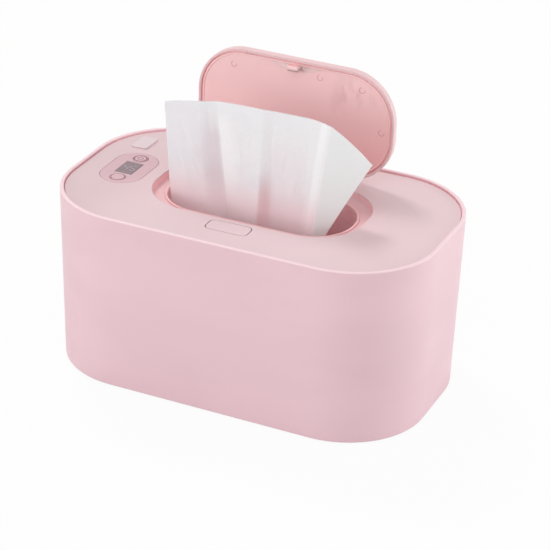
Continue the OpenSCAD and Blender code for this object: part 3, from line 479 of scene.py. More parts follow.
def circuit_board():
    """Green board with copper tracks under the mask."""
    f = Finish("circuit_board")
    where = f.place()
    lanes = f.between(f.stripes(where, 0.13, 5.0, "DIAGONAL"), 0.52, 0.6)
    mask = f.noise(where, 0.8, 2.0)
    base = f.mix(0.55 * lanes, tone(26, 92, 56), tone(64, 138, 84))
    return f.surface(Base_Color=base, Roughness=0.34 + 0.1 * mask, Coat_Weight=0.4,
                     Normal=f.bump(lanes * 0.7 + mask * 0.1, 0.03 * MM))


def flat_lead():
    f = Finish("flat_lead")
    cores = f.stripes(f.place((0.0, 1.0, 0.0)), 0.31, 0.0, "Y")
    fine = f.noise(f.place(), 0.9, 2.0)
    base = f.mix(f.between(cores, 0.55, 0.75), tone(232, 232, 228), tone(168, 164, 158))
    return f.surface(Base_Color=base,
                     Roughness=0.4 + 0.1 * fine, Normal=f.bump(cores, 0.05 * MM))


def gilded_contact():
    f = Finish("gilded_contact")
    fine = f.noise(f.place((3.0, 0.3, 3.0)), 1.4, 3.0)
    return f.surface(Base_Color=f.mix(fine, tone(204, 160, 78), tone(232, 196, 118)), Metallic=1.0,
                     Roughness=0.2 + 0.14 * fine, Normal=f.bump(fine, 0.003 * MM))


# -------------------- mesh work

def settings():
    return bpy.context.scene.warmer_sizes, bpy.context.scene.warmer_colours


def dress(finish, *nodes):
    """Gives carried-over nodes a finish."""
    for node in nodes:
        for material_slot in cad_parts[node].material_slots:
            material_slot.material = finish


def place_piece(name, mesh, finish, body, replaced=()):
    """Puts a mesh in the scene as a piece of the object."""
    piece = bpy.data.objects.new(name, mesh)
    bpy.context.scene.collection.objects.link(piece)
    mesh.materials.clear()
    mesh.materials.append(finish)
    if body:
        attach(piece, body)
    if replaced:
        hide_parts(*replaced)
    return piece


def rounded(node, name, width, finish, body, share=None, segments=3, whole=None):
    """A copy of a CAD node with rounded edges, which takes the node's place.
    share gives each sharp edge's part of the width, from its middle.
    Faces with holes or hollows are divided, except those at the height whole."""
    work = bmesh.new()
    work.from_mesh(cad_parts[node].data)
    bmesh.ops.remove_doubles(work, verts=work.verts, dist=2e-6)
    bmesh.ops.dissolve_limit(work, angle_limit=math.radians(0.25), verts=work.verts,
                             edges=work.edges, use_dissolve_boundaries=False)
    hollow = [face for face in work.faces if len(face.verts) > 4
              and any(not loop.is_convex for loop in face.loops)
              and (whole is None or abs(face.calc_center_median().z / MM - whole) > 0.05)]
    bmesh.ops.triangulate(work, faces=hollow)
    weight = work.edges.layers.float.new("bevel_weight_edge")
    sharp = math.radians(28)
    for edge in work.edges:
        if len(edge.link_faces) == 2 and edge.calc_face_angle(0) > sharp:
            middle = (edge.verts[0].co + edge.verts[1].co) / 2
            edge[weight] = share(middle / MM, edge) if share else 1.0
    for face in work.faces:
        face.smooth = True
    mesh = bpy.data.meshes.new(name)
    work.to_mesh(mesh)
    work.free()
    piece = place_piece(name, mesh, finish, body, (node,))
    soften = piece.modifiers.new("Rounded edges", "BEVEL")
    soften.limit_method = "WEIGHT"
    soften.width = width
    soften.segments = segments
    soften.use_clamp_overlap = False
    soften.miter_outer = "MITER_ARC"
    even = piece.modifiers.new("Even shading", "WEIGHTED_NORMAL")
    even.keep_sharp = True
    even.weight = 60
    return piece


def mesh_from(name, points, faces, smooth=True):
    """A mesh from points in millimetres."""
    mesh = bpy.data.meshes.new(name)
    mesh.from_pydata([tuple(value * MM for value in point) for point in points], [], faces)
    for polygon in mesh.polygons:
        polygon.use_smooth = smooth
    mesh.validate()
    return mesh


def tube_mesh(name, path, radius, sides=12):
    """A round wire along points in millimetres."""
    path = [Vector(point) for point in path]
    count = len(path)
    points, faces = [], []
    normal = None
    for i, point in enumerate(path):
        along = (path[min(i + 1, count - 1)] - path[max(i - 1, 0)]).normalized()
        if normal is None:
            normal = along.orthogonal().normalized()
        normal = (normal - along * normal.dot(along)).normalized()
        binormal = along.cross(normal)
        for k in range(sides):
            angle = math.tau * k / sides
            points.append(point + radius * (math.cos(angle) * normal + math.sin(angle) * binormal))
    for i in range(count - 1):
        for k in range(sides):
            a, b = i * sides + k, i * sides + (k + 1) % sides
            faces.append((a, b, b + sides, a + sides))
    faces.append(tuple(range(sides - 1, -1, -1)))
    faces.append(tuple((count - 1) * sides + k for k in range(sides)))
    return mesh_from(name, points, faces)


def plate_mesh(name, outlines, base, top):
    """Thin raised shapes: each outline is a closed list of points in a plane."""
    points, faces = [], []
    for outline in outlines:
        first, count = len(points), len(outline)
        points += [(a, b, base) for a, b in outline] + [(a, b, top) for a, b in outline]
        faces.append(tuple(first + count + k for k in range(count)))
        faces.append(tuple(first + k for k in range(count - 1, -1, -1)))
        for k in range(count):
            n = (k + 1) % count
            faces.append((first + k, first + n, first + count + n, first + count + k))
    return mesh_from(name, points, faces, smooth=False)


def ring_faces(count, copies, section):
    """Quads between neighbouring copies of a closed section."""
    faces = []
    for i in range(count):
        n = (i + 1) % copies
        for k in range(section):
            m = (k + 1) % section
            faces.append((i * section + k, n * section + k, n * section + m, i * section + m))
    return faces


def ring_mesh(name, centre, inner, outer, base, top, start=0.0, end=360.0, steps=64,
              put=lambda a, b, h: (a, b, h)):
    """A flat ring or part of one, raised from its base.
    put turns (across, up, height) to a point of the object."""
    full = end - start >= 360
    count = max(6, int(steps * (end - start) / 360))
    rims = count if full else count + 1
    points = []
    section = [(inner, base), (inner, top), (outer, top), (outer, base)]
    for i in range(rims):
        angle = math.radians(start + (end - start) * i / count)
        for radius, height in section:
            points.append(put(centre[0] + radius * math.cos(angle),
                              centre[1] + radius * math.sin(angle), height))
    faces = ring_faces(count, rims, 4)
    if not full:
        faces.append((0, 1, 2, 3))
        faces.append(tuple((rims - 1) * 4 + k for k in (3, 2, 1, 0)))
    return mesh_from(name, points, faces, smooth=False)


def loft_mesh(name, profile, corner_at, corner_r, steps=20):
    """A closed ring round a rounded rectangle; its section is a loop of (inset, height) points.
    corner_at is the middle of a corner's arc and corner_r its radius at inset 0."""
    outline = []
    for quarter, (sx, sy) in enumerate(((1, 1), (-1, 1), (-1, -1), (1, -1))):
        for i in range(steps + 1):
            angle = math.radians(90 * (quarter + i / steps))
            outline.append((sx * corner_at[0], sy * corner_at[1], math.cos(angle), math.sin(angle)))
    points = [(cx + (corner_r - inset) * dx, cy + (corner_r - inset) * dy, height)
              for cx, cy, dx, dy in outline for inset, height in profile]
    faces = ring_faces(len(outline), len(outline), len(profile))
    return join_meshes(name, [mesh_from("loft", points, faces)])


def arc(centre, radius, start, end, steps=5):
    """Points of an arc in a section, from one angle to another."""
    return [(centre[0] + radius * math.cos(math.radians(start + (end - start) * i / steps)),
             centre[1] + radius * math.sin(math.radians(start + (end - start) * i / steps)))
            for i in range(steps + 1)]


def cut_away(piece, *cutters):
    """Takes the cutters' meshes, in millimetres, out of a piece."""
    for mesh in cutters:
        cutter = bpy.data.objects.new("cutter", mesh)
        bpy.context.scene.collection.objects.link(cutter)
        cut = piece.modifiers.new("Cut", "BOOLEAN")
        cut.operation = "DIFFERENCE"
        cut.solver = "EXACT"
        cut.object = cutter
        bpy.context.view_layer.update()
        graph = bpy.context.evaluated_depsgraph_get()
        cleared = bpy.data.meshes.new_from_object(piece.evaluated_get(graph))
        piece.modifiers.remove(cut)
        piece.data = cleared
        bpy.data.objects.remove(cutter)
    piece.data.set_sharp_from_angle(angle=math.radians(50))


def block_mesh(low, high):
    (a, b, c), (d, e, f) = low, high
    corners = [(a, b, c), (d, b, c), (d, e, c), (a, e, c),
               (a, b, f), (d, b, f), (d, e, f), (a, e, f)]
    faces = [(0, 3, 2, 1), (4, 5, 6, 7), (0, 1, 5, 4), (1, 2, 6, 5), (2, 3, 7, 6), (3, 0, 4, 7)]
    return mesh_from("block", corners, faces, smooth=False)


def join_meshes(name, meshes):
    """One mesh from several, with all its faces turned outwards."""
    work = bmesh.new()
    for mesh in meshes:
        work.from_mesh(mesh)
        bpy.data.meshes.remove(mesh)
    bmesh.ops.recalc_face_normals(work, faces=work.faces)
    joined = bpy.data.meshes.new(name)
    work.to_mesh(joined)
    work.free()
    return joined


# -------------------- the pieces

def build_casing():
    sizes, colours = settings()
    low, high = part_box("outer_casing")
    foot, rim = low.z / MM, high.z / MM
    # Painted highlight along the rim's top edge and painted shade on its inner face
    pink = moulded_plastic("casing_plastic", colours.casing, 0.4, gloss=0.55,
                           rim_highlight_and_shade=(tone(250, 224, 229), rim - 0.55, tone(246, 192, 198)))
    draft, wall = 2.0, 2.0
    big, small = sizes.rim_round / MM, 0.3

    def lean(height):
        return draft * (rim - height) / (rim - foot)

    def inner(height):
        return lean(height) + wall

    section = arc((lean(foot) + big, foot + big), big, 270, 180)
    section += [(lean(height), height) for height in (10, 30, 50, 70, 88)]
    section += arc((big, rim - big), big, 180, 90)
    section += arc((wall - small, rim - small), small, 90, 0)
    # A small step in the wall, just under the cover's edge
    section += [(inner(92.9), 92.9), (inner(92.9) + 0.34, 92.8), (inner(92.4) + 0.34, 92.4),
                (inner(92.1), 92.1)]
    for ledge_low, ledge_high, reach in ((72.8, 75.2, 3.0), (3.2, 5.6, 2.0)):
        edge = inner(ledge_high) + reach
        section += [(inner(ledge_high), ledge_high), (edge - 0.2, ledge_high),
                    (edge, ledge_high - 0.2), (edge, ledge_low + 0.2),
                    (edge - 0.2, ledge_low), (inner(ledge_low), ledge_low)]
    section += arc((inner(foot) - small, foot + small), small, 360, 270)
    mesh = loft_mesh("casing", section, CORNER_AT, CORNER_R)
    casing = place_piece("casing", mesh, pink, "base", ("outer_casing",))
    socket_x, socket_z, socket_r = 45, 12.9, 4.3
    hole = tube_mesh("hole", [(socket_x, y, socket_z) for y in (55.6, 58, 61)], socket_r, 48)
    contact_notch = block_mesh((-97.17, -9.3, 71.8), (-93.1, 9.3, 76.2))
    cut_away(casing, hole, contact_notch)
    casing.modifiers.new("Even shading", "WEIGHTED_NORMAL").keep_sharp = True
    rounded("base_plate", "base_plate_cap", sizes.edge_round, pink, "base", segments=2)
    rounded("rubber_feet", "feet", 0.0004, soft_rubber("foot_rubber", tone(70, 66, 68)),
            "base")
    dress(bright_steel(), "base_screws")


def build_tub():
    colours = settings()[1]
    steel = bright_steel()
    black = moulded_plastic("black_plastic", tone(52, 50, 52), 0.5, blush=0.08)
    board = circuit_board()
    rounded("inner_tub", "tub", 0.0004, moulded_plastic("tub_plastic", colours.tub, 0.36),
            "base", segments=2)
    dress(rolled_aluminium(), "heat_plate")
    dress(heater_film(), "heating_film", "heater_lead")
    dress(open_foam(), "insulation_pad")
    dress(board, "main_board")
    dress(black, "board_components", "temperature_sensor", "base_contact_block")
    dress(steel, "board_screws", "thermal_fuse")
    dress(flat_lead(), "contact_ribbon")
    dress(gilded_contact(), "contact_springs")
    rounded("power_socket", "socket", 0.0002, black, "base", segments=2)


def build_cover():
    sizes, colours = settings()
    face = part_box("top_cover")[1].z / MM
    # Painted shade darkens the left end of the panel
    cover = moulded_plastic("cover_plastic", colours.cover, 0.46, left=0.08,
                            # Painted shade in the recess and the collar below the face
                            deep=(colours.recess, face - 0.3, face - 1.6, face - 4.2))
    small_share = sizes.edge_round / sizes.recess_round

    def share(middle, edge):
        on_face = abs(middle.z - face) < 0.05
        flat = abs(edge.verts[0].co.z - edge.verts[1].co.z) < 1e-5
        in_recess = (abs(middle.x) < 57 and abs(middle.y) < 30.8
                     and not (abs(middle.x) < 27 and middle.y > 25))
        if on_face and flat and in_recess:
            return 1.0
        # The corners that the flap's rear rim swings through stay sharp
        if middle.z > face - 5 and middle.y > 20 and 26 < abs(middle.x) < 58:
            return 0.0
        return small_share

    rounded("top_cover", "cover_panel", sizes.recess_round, cover, "cover", share,
            whole=face)
    rounded("cover_liner", "cover_underside", sizes.edge_round, cover, "cover", segments=2)
    rounded("opening_seal", "seal_ring", 0.00045, soft_rubber("seal_rubber", colours.seal, 0.5),
            "cover")
    dress(soft_rubber("gasket_rubber", tone(228, 222, 224)), "cover_gasket")
    dress(bright_steel(), "cover_screws")
    rounded("lift_tab", "tab", sizes.edge_round,
            moulded_plastic("tab_plastic", colours.tab, 0.34), "cover")


# Bars of a digit from corner to corner, from the top clockwise, then the middle one
BARS = ((0, 2, 1, 2), (1, 2, 1, 1), (1, 1, 1, 0), (0, 0, 1, 0), (0, 1, 0, 0), (0, 2, 0, 1),
        (0, 1, 1, 1))
# Bars that are lit in each digit
LIT = {4: (1, 2, 5, 6), 5: (0, 2, 3, 5, 6)}
DIGIT_WIDTH, BAR_WIDTH = 0.52, 0.11  # as shares of a digit's height


def digit_outlines(number, corner, height):
    """The lit bars of one digit, with pointed ends."""
    wide, half, bar = height * DIGIT_WIDTH, height / 2, height * BAR_WIDTH
    outlines = []
    for k in LIT[number]:
        x, y, to_x, to_y = BARS[k]
        a = Vector((corner[0] + x * wide, corner[1] + y * half))
        b = Vector((corner[0] + to_x * wide, corner[1] + to_y * half))
        along = (b - a).normalized()
        side = Vector((-along.y, along.x)) * bar / 2
        a, b = a + along * bar * 0.2, b - along * bar * 0.2
        tip = along * bar / 2
        outlines.append([tuple(p) for p in (a, a + tip - side, b - tip - side, b, b - tip + side,
                                            a + tip + side)])
    return outlines


def build_controls():
    sizes, colours = settings()
    pink = moulded_plastic("oval_plastic", colours.oval, 0.4)
    # Signs on the keys, and painted shade in the gaps round them
    line = printed_line("key_sign_and_gap_shade", colours.line)
    rounded("control_panel", "oval_plate", 0.00018, pink, "cover", segments=2)
    rounded("display_window", "display_glass", 0.0001, smoked_window(colours.window),
            "cover", segments=2)
    low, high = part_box("display_window")
    middle = (low + high) / 2 / MM
    face = high.z / MM
    tall = sizes.digit_height / MM
    wide = tall * DIGIT_WIDTH
    outlines = []
    for number, left in ((4, middle.x - wide - 0.5), (5, middle.x + 0.7)):
        outlines += digit_outlines(number, (left, middle.y - tall / 2), tall)
    place_piece("display_digits", plate_mesh("display_digits", outlines, face - 0.02, face + 0.015),
                printed_line("lit_digit", tone(172, 156, 166)), "cover")
    cap_radius = 3.8
    for node, name, body in (("power_key", "power_cap", "power_switch"),
                             ("mode_key", "mode_cap", "mode_switch")):
        rounded(node, name, 0.00018, pink, body, segments=2)
        low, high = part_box(node)
        centre = ((low + high) / 2 / MM)[:2]
        top = high.z / MM
        thin = sizes.line_width / MM
        layer = top - 0.02, top + 0.015
        if node == "power_key":
            rim, half = cap_radius - 0.2, thin / 2
            x, low_y, high_y = centre[0], centre[1] + 0.5, centre[1] + 2.1
            stroke = [(x - half, low_y), (x + half, low_y), (x + half, high_y), (x - half, high_y)]
            # The outer ring is painted shade of the gap round the key; the inner ring and the
            # stroke are the printed sign
            parts = [ring_mesh("a", centre, rim - 1.8 * thin, rim, *layer),
                     ring_mesh("b", centre, 1.25, 1.25 + thin, *layer, 125, 415, steps=48),
                     plate_mesh("c", [stroke], *layer)]
            place_piece("power_sign_and_gap_shade", join_meshes("power_sign_and_gap_shade", parts), line, body)
        else:
            rim = cap_radius - 0.18
            # A dark ring of painted shade in the gap round the key
            ring = ring_mesh("mode_gap_shade", centre, rim - thin, rim, *layer)
            place_piece("mode_gap_shade", ring, line, body)
    dress(moulded_plastic("module_plastic", tone(52, 50, 52), 0.5, blush=0.08),
          "display_module", "tactile_switches")
    dress(circuit_board(), "control_board", "cover_contact_strip")
    dress(bright_steel(), "control_screws")
    dress(flat_lead(), "panel_lead")


def build_flap():
    sizes, colours = settings()
    outer = moulded_plastic("flap_plastic", colours.flap, 0.42)
    inside = flap_inside(colours.flap_inner)

    def share(middle, edge):
        # Small on the hinge tongue, growing step by step round the corners
        if middle.z < 95.45:
            return 0.3
        grown = min(1.0, 0.3 + max(0.0, abs(middle.x) - 29) * 0.032)
        return grown if middle.y > 40.2 else 0.75 * grown

    rounded("flap_shell", "flap_tray", sizes.flap_round, outer, "flap", share)
    rounded("flap_liner", "flap_panel", 0.00018, inside, "flap",
            lambda middle, edge: 0.0 if middle.z > 144 and abs(middle.x) < 20 else 1.0, segments=2)
    dress(bright_steel(), "hinge_pin")

    # Round marks that the ejector pins leave on the inner panel; their deeper pink is painted shade
    # on the raised arcs
    marks = []
    for across, up in ((-34.6, 145.3), (13.0, 147.2), (35.9, 144.9), (47.3, 124.2)):
        marks.append(ring_mesh("mark", (across, up), 1.35, 1.62, 0, 1, 110, 375,
                               steps=40, put=lambda a, b, h: (a, FLAP_FACE + 0.02 - 0.06 * h, b)))
    place_piece("ejector_marks", join_meshes("ejector_marks", marks),
                printed_line("mark_shade", tone(214, 150, 152)), "flap")

    # Torsion spring round the pin
    steps, turns, half, radius = 300, 6.25, 4.2, 2
    coil = []
    for i in range(steps + 1):
        angle = math.tau * (turns * i / steps - 0.25)
        coil.append((half * (2 * i / steps - 1), HINGE_Y + radius * math.cos(angle),
                     HINGE_Z + radius * math.sin(angle)))
    spring = place_piece("flap_spring", tube_mesh(
        "flap_spring", [(-half, 31.9, 87)] + coil + [(half, 38, 95.4)], 0.33),
        bright_steel(), None, ("hinge_spring",))
    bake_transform(spring)


def build_button():
    sizes, colours = settings()
    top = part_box("release_button")[1].z / MM - 0.2
    # Painted shade on the button's sides, in the gap round it
    pink = moulded_plastic("button_plastic", colours.cover, 0.42,
                           deep=(tone(150, 90, 100), top, top - 0.4, 0))
    rounded("release_button", "button_cap", sizes.edge_round, pink, "button")
    dress(moulded_plastic("latch_plastic", tone(226, 214, 216), 0.4),
          "latch_slider", "latch_retainer")
    dress(bright_steel(), "latch_screws")
    low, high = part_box("latch_spring")
    middle = (low + high) / 2 / MM
    steps = 240
    turns, radius, long = 5, 1.2, 5.9
    path = []
    for i in range(steps + 1):
        angle = turns * math.tau * i / steps
        path.append((radius * math.cos(angle), high.y / MM - 0.25 - long * i / steps,
                     middle.z + radius * math.sin(angle)))
    spring = place_piece("slider_spring", tube_mesh("slider_spring", path, 0.24), bright_steel(),
                         "cover", ("latch_spring",))
    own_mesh(spring)


# -------------------- wipe

def eased(share):
    share = min(1.0, max(0.0, share))
    return share * share * (3 - 2 * share)


def hump(x, centre, width):
    return math.exp(-((x - centre) / width) ** 2)


# Folds of the wipe: place across at the foot and at the top, depth there in millimetres
FOLDS = (
    (0.0, 0.0, 0.4, 0.0), (0.12, 0.1, -0.6, -0.5), (0.26, 0.22, -1.5, -0.9),
    (0.4, 0.31, 2.1, 0.9), (0.615, 0.6, -2.1, -0.4), (0.69, 0.66, 1.5, 0.0),
    (0.91, 0.87, 1.0, 0.6), (1.0, 1.0, -1.3, -0.8),
)
# Short slanted wrinkles: place across and up, slant, depth
WRINKLES = (
    (0.12, 0.72, -0.2, 0.45), (0.18, 0.62, -0.26, -0.5), (0.08, 0.52, -0.18, 0.4),
    (0.2, 0.47, -0.3, 0.45), (0.13, 0.38, -0.2, -0.4), (0.27, 0.84, -0.1, 0.4),
    (0.47, 0.6, -0.06, -0.35), (0.54, 0.72, 0.08, 0.25), (0.76, 0.62, 0.1, 0.3),
    (0.82, 0.42, 0.12, -0.3), (0.66, 0.8, 0.06, 0.25), (0.36, 0.66, -0.3, 0.35),
)


def wipe_depth(s, v):
    """How far the wipe's main folds lie towards the rear."""
    lines = [(foot + (top - foot) * v, deep + (high - deep) * v) for foot, top, deep, high in FOLDS]
    for (a, x), (b, y) in zip(lines, lines[1:]):
        if s <= b or b >= 1:
            share = min(1.0, max(0.0, (s - a) / (b - a)))
            return x + (y - x) * (0.55 * share + 0.45 * eased(share))
    return lines[-1][1]


def wipe_creases(s, v):
    """Finer folds of the wipe, in millimetres towards the rear."""
    foot = 1 - eased(v / 0.8)
    depth = 0.25 * math.sin(34 * s + 3 * v) * foot * (1 - hump(s, 1, 0.12))
    for place, height, slant, deep in WRINKLES:
        depth += deep * hump(s - slant * (v - height), place, 0.013) * hump(v, height, 0.1)
    depth += -0.5 * hump(s, 0.985 - 0.02 * (1 - v), 0.014)
    return depth


def wipe_face(s, v):
    """A point of the main face: s goes from left to right, v from the foot to the top edge."""
    foot_width, top_width, highest = 74.5, 90, 144.3
    width = foot_width + (top_width - foot_width) * v ** 0.7
    top = highest - 6.9 * (1 - s) ** 4 - 1.2 * s ** 12
    inner = eased(s / 0.06)
    return Vector((-5.25 + (s - 0.5) * width - 1.35 * v,
                   -12.6 + 6.8 * v + wipe_depth(s, v) + wipe_creases(s, v) * inner,
                   WIPE_FOOT + (top - WIPE_FOOT) * v))


def wipe_wing(t, v):
    """A point of the wing that is folded back from the right edge, t from its root to its tip."""
    wing_length = 19
    reach = Vector((0.21 + 0.79 * v ** 1.25, 0.18 + 0.27 * v, -1.04 * v)) * wing_length * t
    bulge = 0.5 * math.sin(math.pi * t) * (1 - v) * v
    return wipe_face(1, v) + reach + Vector((0, bulge, 4 * t * (1 - t) * v ** 6))


def build_wipe():
    sizes, colours = settings()
    face_columns, wing_columns, rows = 150, 40, 90
    columns = face_columns + wing_columns
    grid = []
    for j in range(rows + 1):
        v = j / rows
        line = [wipe_face(i / face_columns, v) for i in range(face_columns + 1)]
        line += [wipe_wing(i / wing_columns, v) for i in range(1, wing_columns + 1)]
        grid.append(line)
    # The crease at the wing's root is turned over a small radius
    for line in grid:
        for _ in range(3):
            near = range(face_columns - 2, face_columns + 3)
            eased_points = [(line[i - 1] + line[i] * 2 + line[i + 1]) / 4 for i in near]
            for i, point in zip(near, eased_points):
                line[i] = point
    points, normals = [], []
    for j in range(rows + 1):
        for i in range(columns + 1):
            across = grid[j][min(i + 1, columns)] - grid[j][max(i - 1, 0)]
            up = grid[min(j + 1, rows)][i] - grid[max(j - 1, 0)][i]
            normals.append(across.cross(up).normalized())
            points.append(grid[j][i])
    half = sizes.wipe_thickness / MM / 2
    layer = len(points)
    both = [p + n * side for side in (half, -half) for p, n in zip(points, normals)]

    def at(side, i, j):
        return side * layer + j * (columns + 1) + i

    faces = []
    for j in range(rows):
        for i in range(columns):
            faces.append((at(0, i, j), at(0, i + 1, j), at(0, i + 1, j + 1), at(0, i, j + 1)))
            faces.append((at(1, i, j), at(1, i, j + 1), at(1, i + 1, j + 1), at(1, i + 1, j)))
    for i in range(columns):
        faces.append((at(0, i, 0), at(1, i, 0), at(1, i + 1, 0), at(0, i + 1, 0)))
        faces.append((at(0, i, rows), at(0, i + 1, rows), at(1, i + 1, rows), at(1, i, rows)))
    for j in range(rows):
        faces.append((at(0, 0, j), at(0, 0, j + 1), at(1, 0, j + 1), at(1, 0, j)))
        faces.append((at(0, columns, j), at(1, columns, j), at(1, columns, j + 1),
                      at(0, columns, j + 1)))
    area = 0.0
    for j in range(rows):
        for i in range(columns):
            a, b, c, d = grid[j][i], grid[j][i + 1], grid[j + 1][i + 1], grid[j + 1][i]
            area += ((b - a).cross(d - a).length + (b - c).cross(d - c).length) / 2
    wide = sum((grid[rows][i + 1] - grid[rows][i]).length for i in range(columns))
    tall = sum((grid[j + 1][0] - grid[j][0]).length for j in range(rows))
    mesh = mesh_from("wipe", both, faces)
    wipe = place_piece("wipe", mesh, nonwoven(colours.wipe), "cover", ("wipe_sheet",))
    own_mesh(wipe)


# -------------------- stage

def white_floor():
    """White to the camera, yet it keeps the object's shadow."""
    f = Finish("studio_floor")
    speckle = f.noise(f.place(), 0.02, 2.0)
    paper = f.add("ShaderNodeBsdfDiffuse", None, {
        "Color": f.mix(speckle, (0.86, 0.86, 0.86), (0.9, 0.9, 0.9))})
    glow = f.add("ShaderNodeEmission", None, {"Color": (1, 1, 1, 1), "Strength": 1.0})
    share = f.light_path("Is Camera Ray") * 0.93
    return f.output(f.add("ShaderNodeMixShader", None, {0: share, 1: paper, 2: glow}))


def build_lamp(name, spot, target, size, power, tint=(1, 1, 1)):
    lamp = bpy.data.lights.new(name, "AREA")
    lamp.shape = "RECTANGLE"
    lamp.size, lamp.size_y = size
    lamp.energy = power
    lamp.color = tint
    holder = bpy.data.objects.new(name, lamp)
    holder.location = spot
    holder.rotation_mode = "QUATERNION"
    holder.rotation_quaternion = (Vector(target) - Vector(spot)).to_track_quat("-Z", "Y")
    bpy.context.scene.collection.objects.link(holder)


def build_world(strength):
    """Soft light from all round; the camera, gloss and clear plastic see plain white."""
    f = Finish("studio_light", bpy.data.worlds)
    seen = at_least(f.light_path("Is Camera Ray"), f.light_path("Is Transmission Ray"))
    clear = at_least(seen, f.light_path("Is Glossy Ray"))
    dim = f.add("ShaderNodeBackground", None,
                {"Color": (1.0, 0.95, 0.955, 1), "Strength": strength})
    white = f.add("ShaderNodeBackground", None, {"Color": (1, 1, 1, 1), "Strength": 1.0})
    blend = f.add("ShaderNodeMixShader", None, {0: clear, 1: dim, 2: white})
    bpy.context.scene.world = f.output(blend, "ShaderNodeOutputWorld")


def build_camera():
    """The photograph's viewpoint, from a fit to the casing's and flap's outlines."""
    eye = Vector((0.423864, -0.933759, 0.583300))
    forward = Vector((-0.36058, 0.81082, -0.46104)).normalized()
    right = forward.cross(Vector((0, 0, 1))).normalized()
    up = right.cross(forward)
    roll = math.radians(1.933)
    side = right * math.cos(roll) + up * math.sin(roll)
    top = up * math.cos(roll) - right * math.sin(roll)
    camera = bpy.data.cameras.new("studio_camera")
    camera.sensor_width = 36
    focal, photo_width = 2279.165, 550  # in pixels of the photograph
    camera.lens = focal / photo_width * camera.sensor_width
    camera.clip_start, camera.clip_end = 0.01, 50
    holder = bpy.data.objects.new("studio_camera", camera)
    holder.matrix_world = Matrix((
        (side.x, top.x, -forward.x, eye.x), (side.y, top.y, -forward.y, eye.y),
        (side.z, top.z, -forward.z, eye.z), (0, 0, 0, 1)))
    bpy.context.scene.collection.objects.link(holder)
    bpy.context.scene.camera = holder


def build_stage():
    scene = bpy.context.scene
    stage = scene.warmer_stage
    scene.view_settings.view_transform = "Standard"
    half = stage.floor_size / 2
    mesh = bpy.data.meshes.new("floor")
    mesh.from_pydata([(-half, -half, 0), (half, -half, 0), (half, half, 0), (-half, half, 0)], [],
                     [(0, 1, 2, 3)])
    floor = bpy.data.objects.new("floor", mesh)
    floor.location.z = -0.00002
    mesh.materials.append(white_floor())
    scene.collection.objects.link(floor)
    middle = (0, 0, 0.06)
    build_lamp("back_lamp", (-0.88, 0.67, 1.6), middle, (0.46, 0.46), stage.back_lamp)
    build_lamp("side_lamp", (1.22, 0.62, 0.26), middle, (0.7, 0.4), stage.side_lamp,
               (0.89, 1, 0.98))
    build_lamp("front_lamp", (-0.95, -1.15, 0.34), middle, (0.8, 0.5), stage.front_lamp,
               (0.93, 1, 1))
    build_lamp("fill_lamp", (0.15, -0.9, 1.1), middle, (1.2, 1.0), stage.fill_lamp)
    build_world(stage.sky)
    build_camera()


# -------------------- operators and panel

class WARMER_OT_casing(Operator):
    """Casing with its rounded rim, base plate, feet and screws"""
    bl_idname = "warmer.casing"
    bl_label = "Casing"

    def execute(self, context):
        build_casing()
        return {"FINISHED"}


class WARMER_OT_tub(Operator):
    """Tub, heater, main board and power socket"""
    bl_idname = "warmer.tub"
    bl_label = "Tub and heater"

    def execute(self, context):
        build_tub()
        return {"FINISHED"}


class WARMER_OT_cover(Operator):
    """Cover panel with recess, underside, seal, gasket and lift tab"""
    bl_idname = "warmer.cover"
    bl_label = "Cover"

    def execute(self, context):
        build_cover()
        return {"FINISHED"}


class WARMER_OT_controls(Operator):
    """Control oval with display, digits and keys"""
    bl_idname = "warmer.controls"
    bl_label = "Controls"

    def execute(self, context):
        build_controls()
        return {"FINISHED"}


class WARMER_OT_flap(Operator):
    """Flap with its inner panel, marks, pin and spring"""
    bl_idname = "warmer.flap"
    bl_label = "Flap"

    def execute(self, context):
        build_flap()
        return {"FINISHED"}


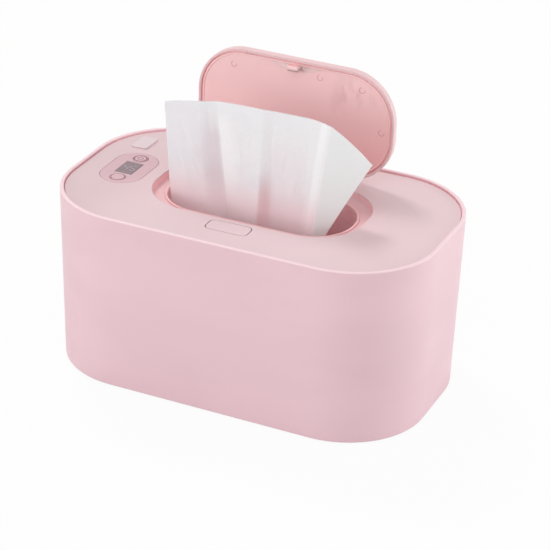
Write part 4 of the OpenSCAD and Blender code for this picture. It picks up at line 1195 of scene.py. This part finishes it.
class WARMER_OT_button(Operator):
    """Release button and latch"""
    bl_idname = "warmer.button"
    bl_label = "Button and latch"

    def execute(self, context):
        build_button()
        return {"FINISHED"}


class WARMER_OT_wipe(Operator):
    """Wipe that stands in the opening"""
    bl_idname = "warmer.wipe"
    bl_label = "Wipe"

    def execute(self, context):
        build_wipe()
        return {"FINISHED"}


class WARMER_OT_stage(Operator):
    """Floor, lamps, world and camera"""
    bl_idname = "warmer.stage"
    bl_label = "Stage"

    def execute(self, context):
        build_stage()
        return {"FINISHED"}


STEPS = (WARMER_OT_casing, WARMER_OT_tub, WARMER_OT_cover, WARMER_OT_controls, WARMER_OT_flap,
         WARMER_OT_button, WARMER_OT_wipe, WARMER_OT_stage)


class WARMER_PT_build(Panel):
    """Lists the steps, sizes and colours"""
    bl_label = "Wipe Warmer"
    bl_idname = "WARMER_PT_build"
    bl_space_type = "VIEW_3D"
    bl_region_type = "UI"
    bl_category = "Wipe Warmer"

    def draw(self, context):
        layout = self.layout
        for step in STEPS:
            layout.operator(step.bl_idname, text=step.bl_label)
        for group in (context.scene.warmer_sizes, context.scene.warmer_colours,
                      context.scene.warmer_stage):
            box = layout.box()
            for key in group.__annotations__:
                box.prop(group, key)


CLASSES = (WarmerSizes, WarmerColours, WarmerStage, *STEPS, WARMER_PT_build)


def register():
    for item in CLASSES:
        bpy.utils.register_class(item)
    bpy.types.Scene.warmer_sizes = PointerProperty(type=WarmerSizes)
    bpy.types.Scene.warmer_colours = PointerProperty(type=WarmerColours)
    bpy.types.Scene.warmer_stage = PointerProperty(type=WarmerStage)


def unregister():
    del bpy.types.Scene.warmer_stage
    del bpy.types.Scene.warmer_colours
    del bpy.types.Scene.warmer_sizes
    for item in reversed(CLASSES):
        bpy.utils.unregister_class(item)


def main():
    register()
    bpy.ops.warmer.casing()
    bpy.ops.warmer.tub()
    bpy.ops.warmer.cover()
    bpy.ops.warmer.controls()
    bpy.ops.warmer.flap()
    bpy.ops.warmer.button()
    bpy.ops.warmer.wipe()
    bpy.ops.warmer.stage()


if __name__ == "__main__":
    main()
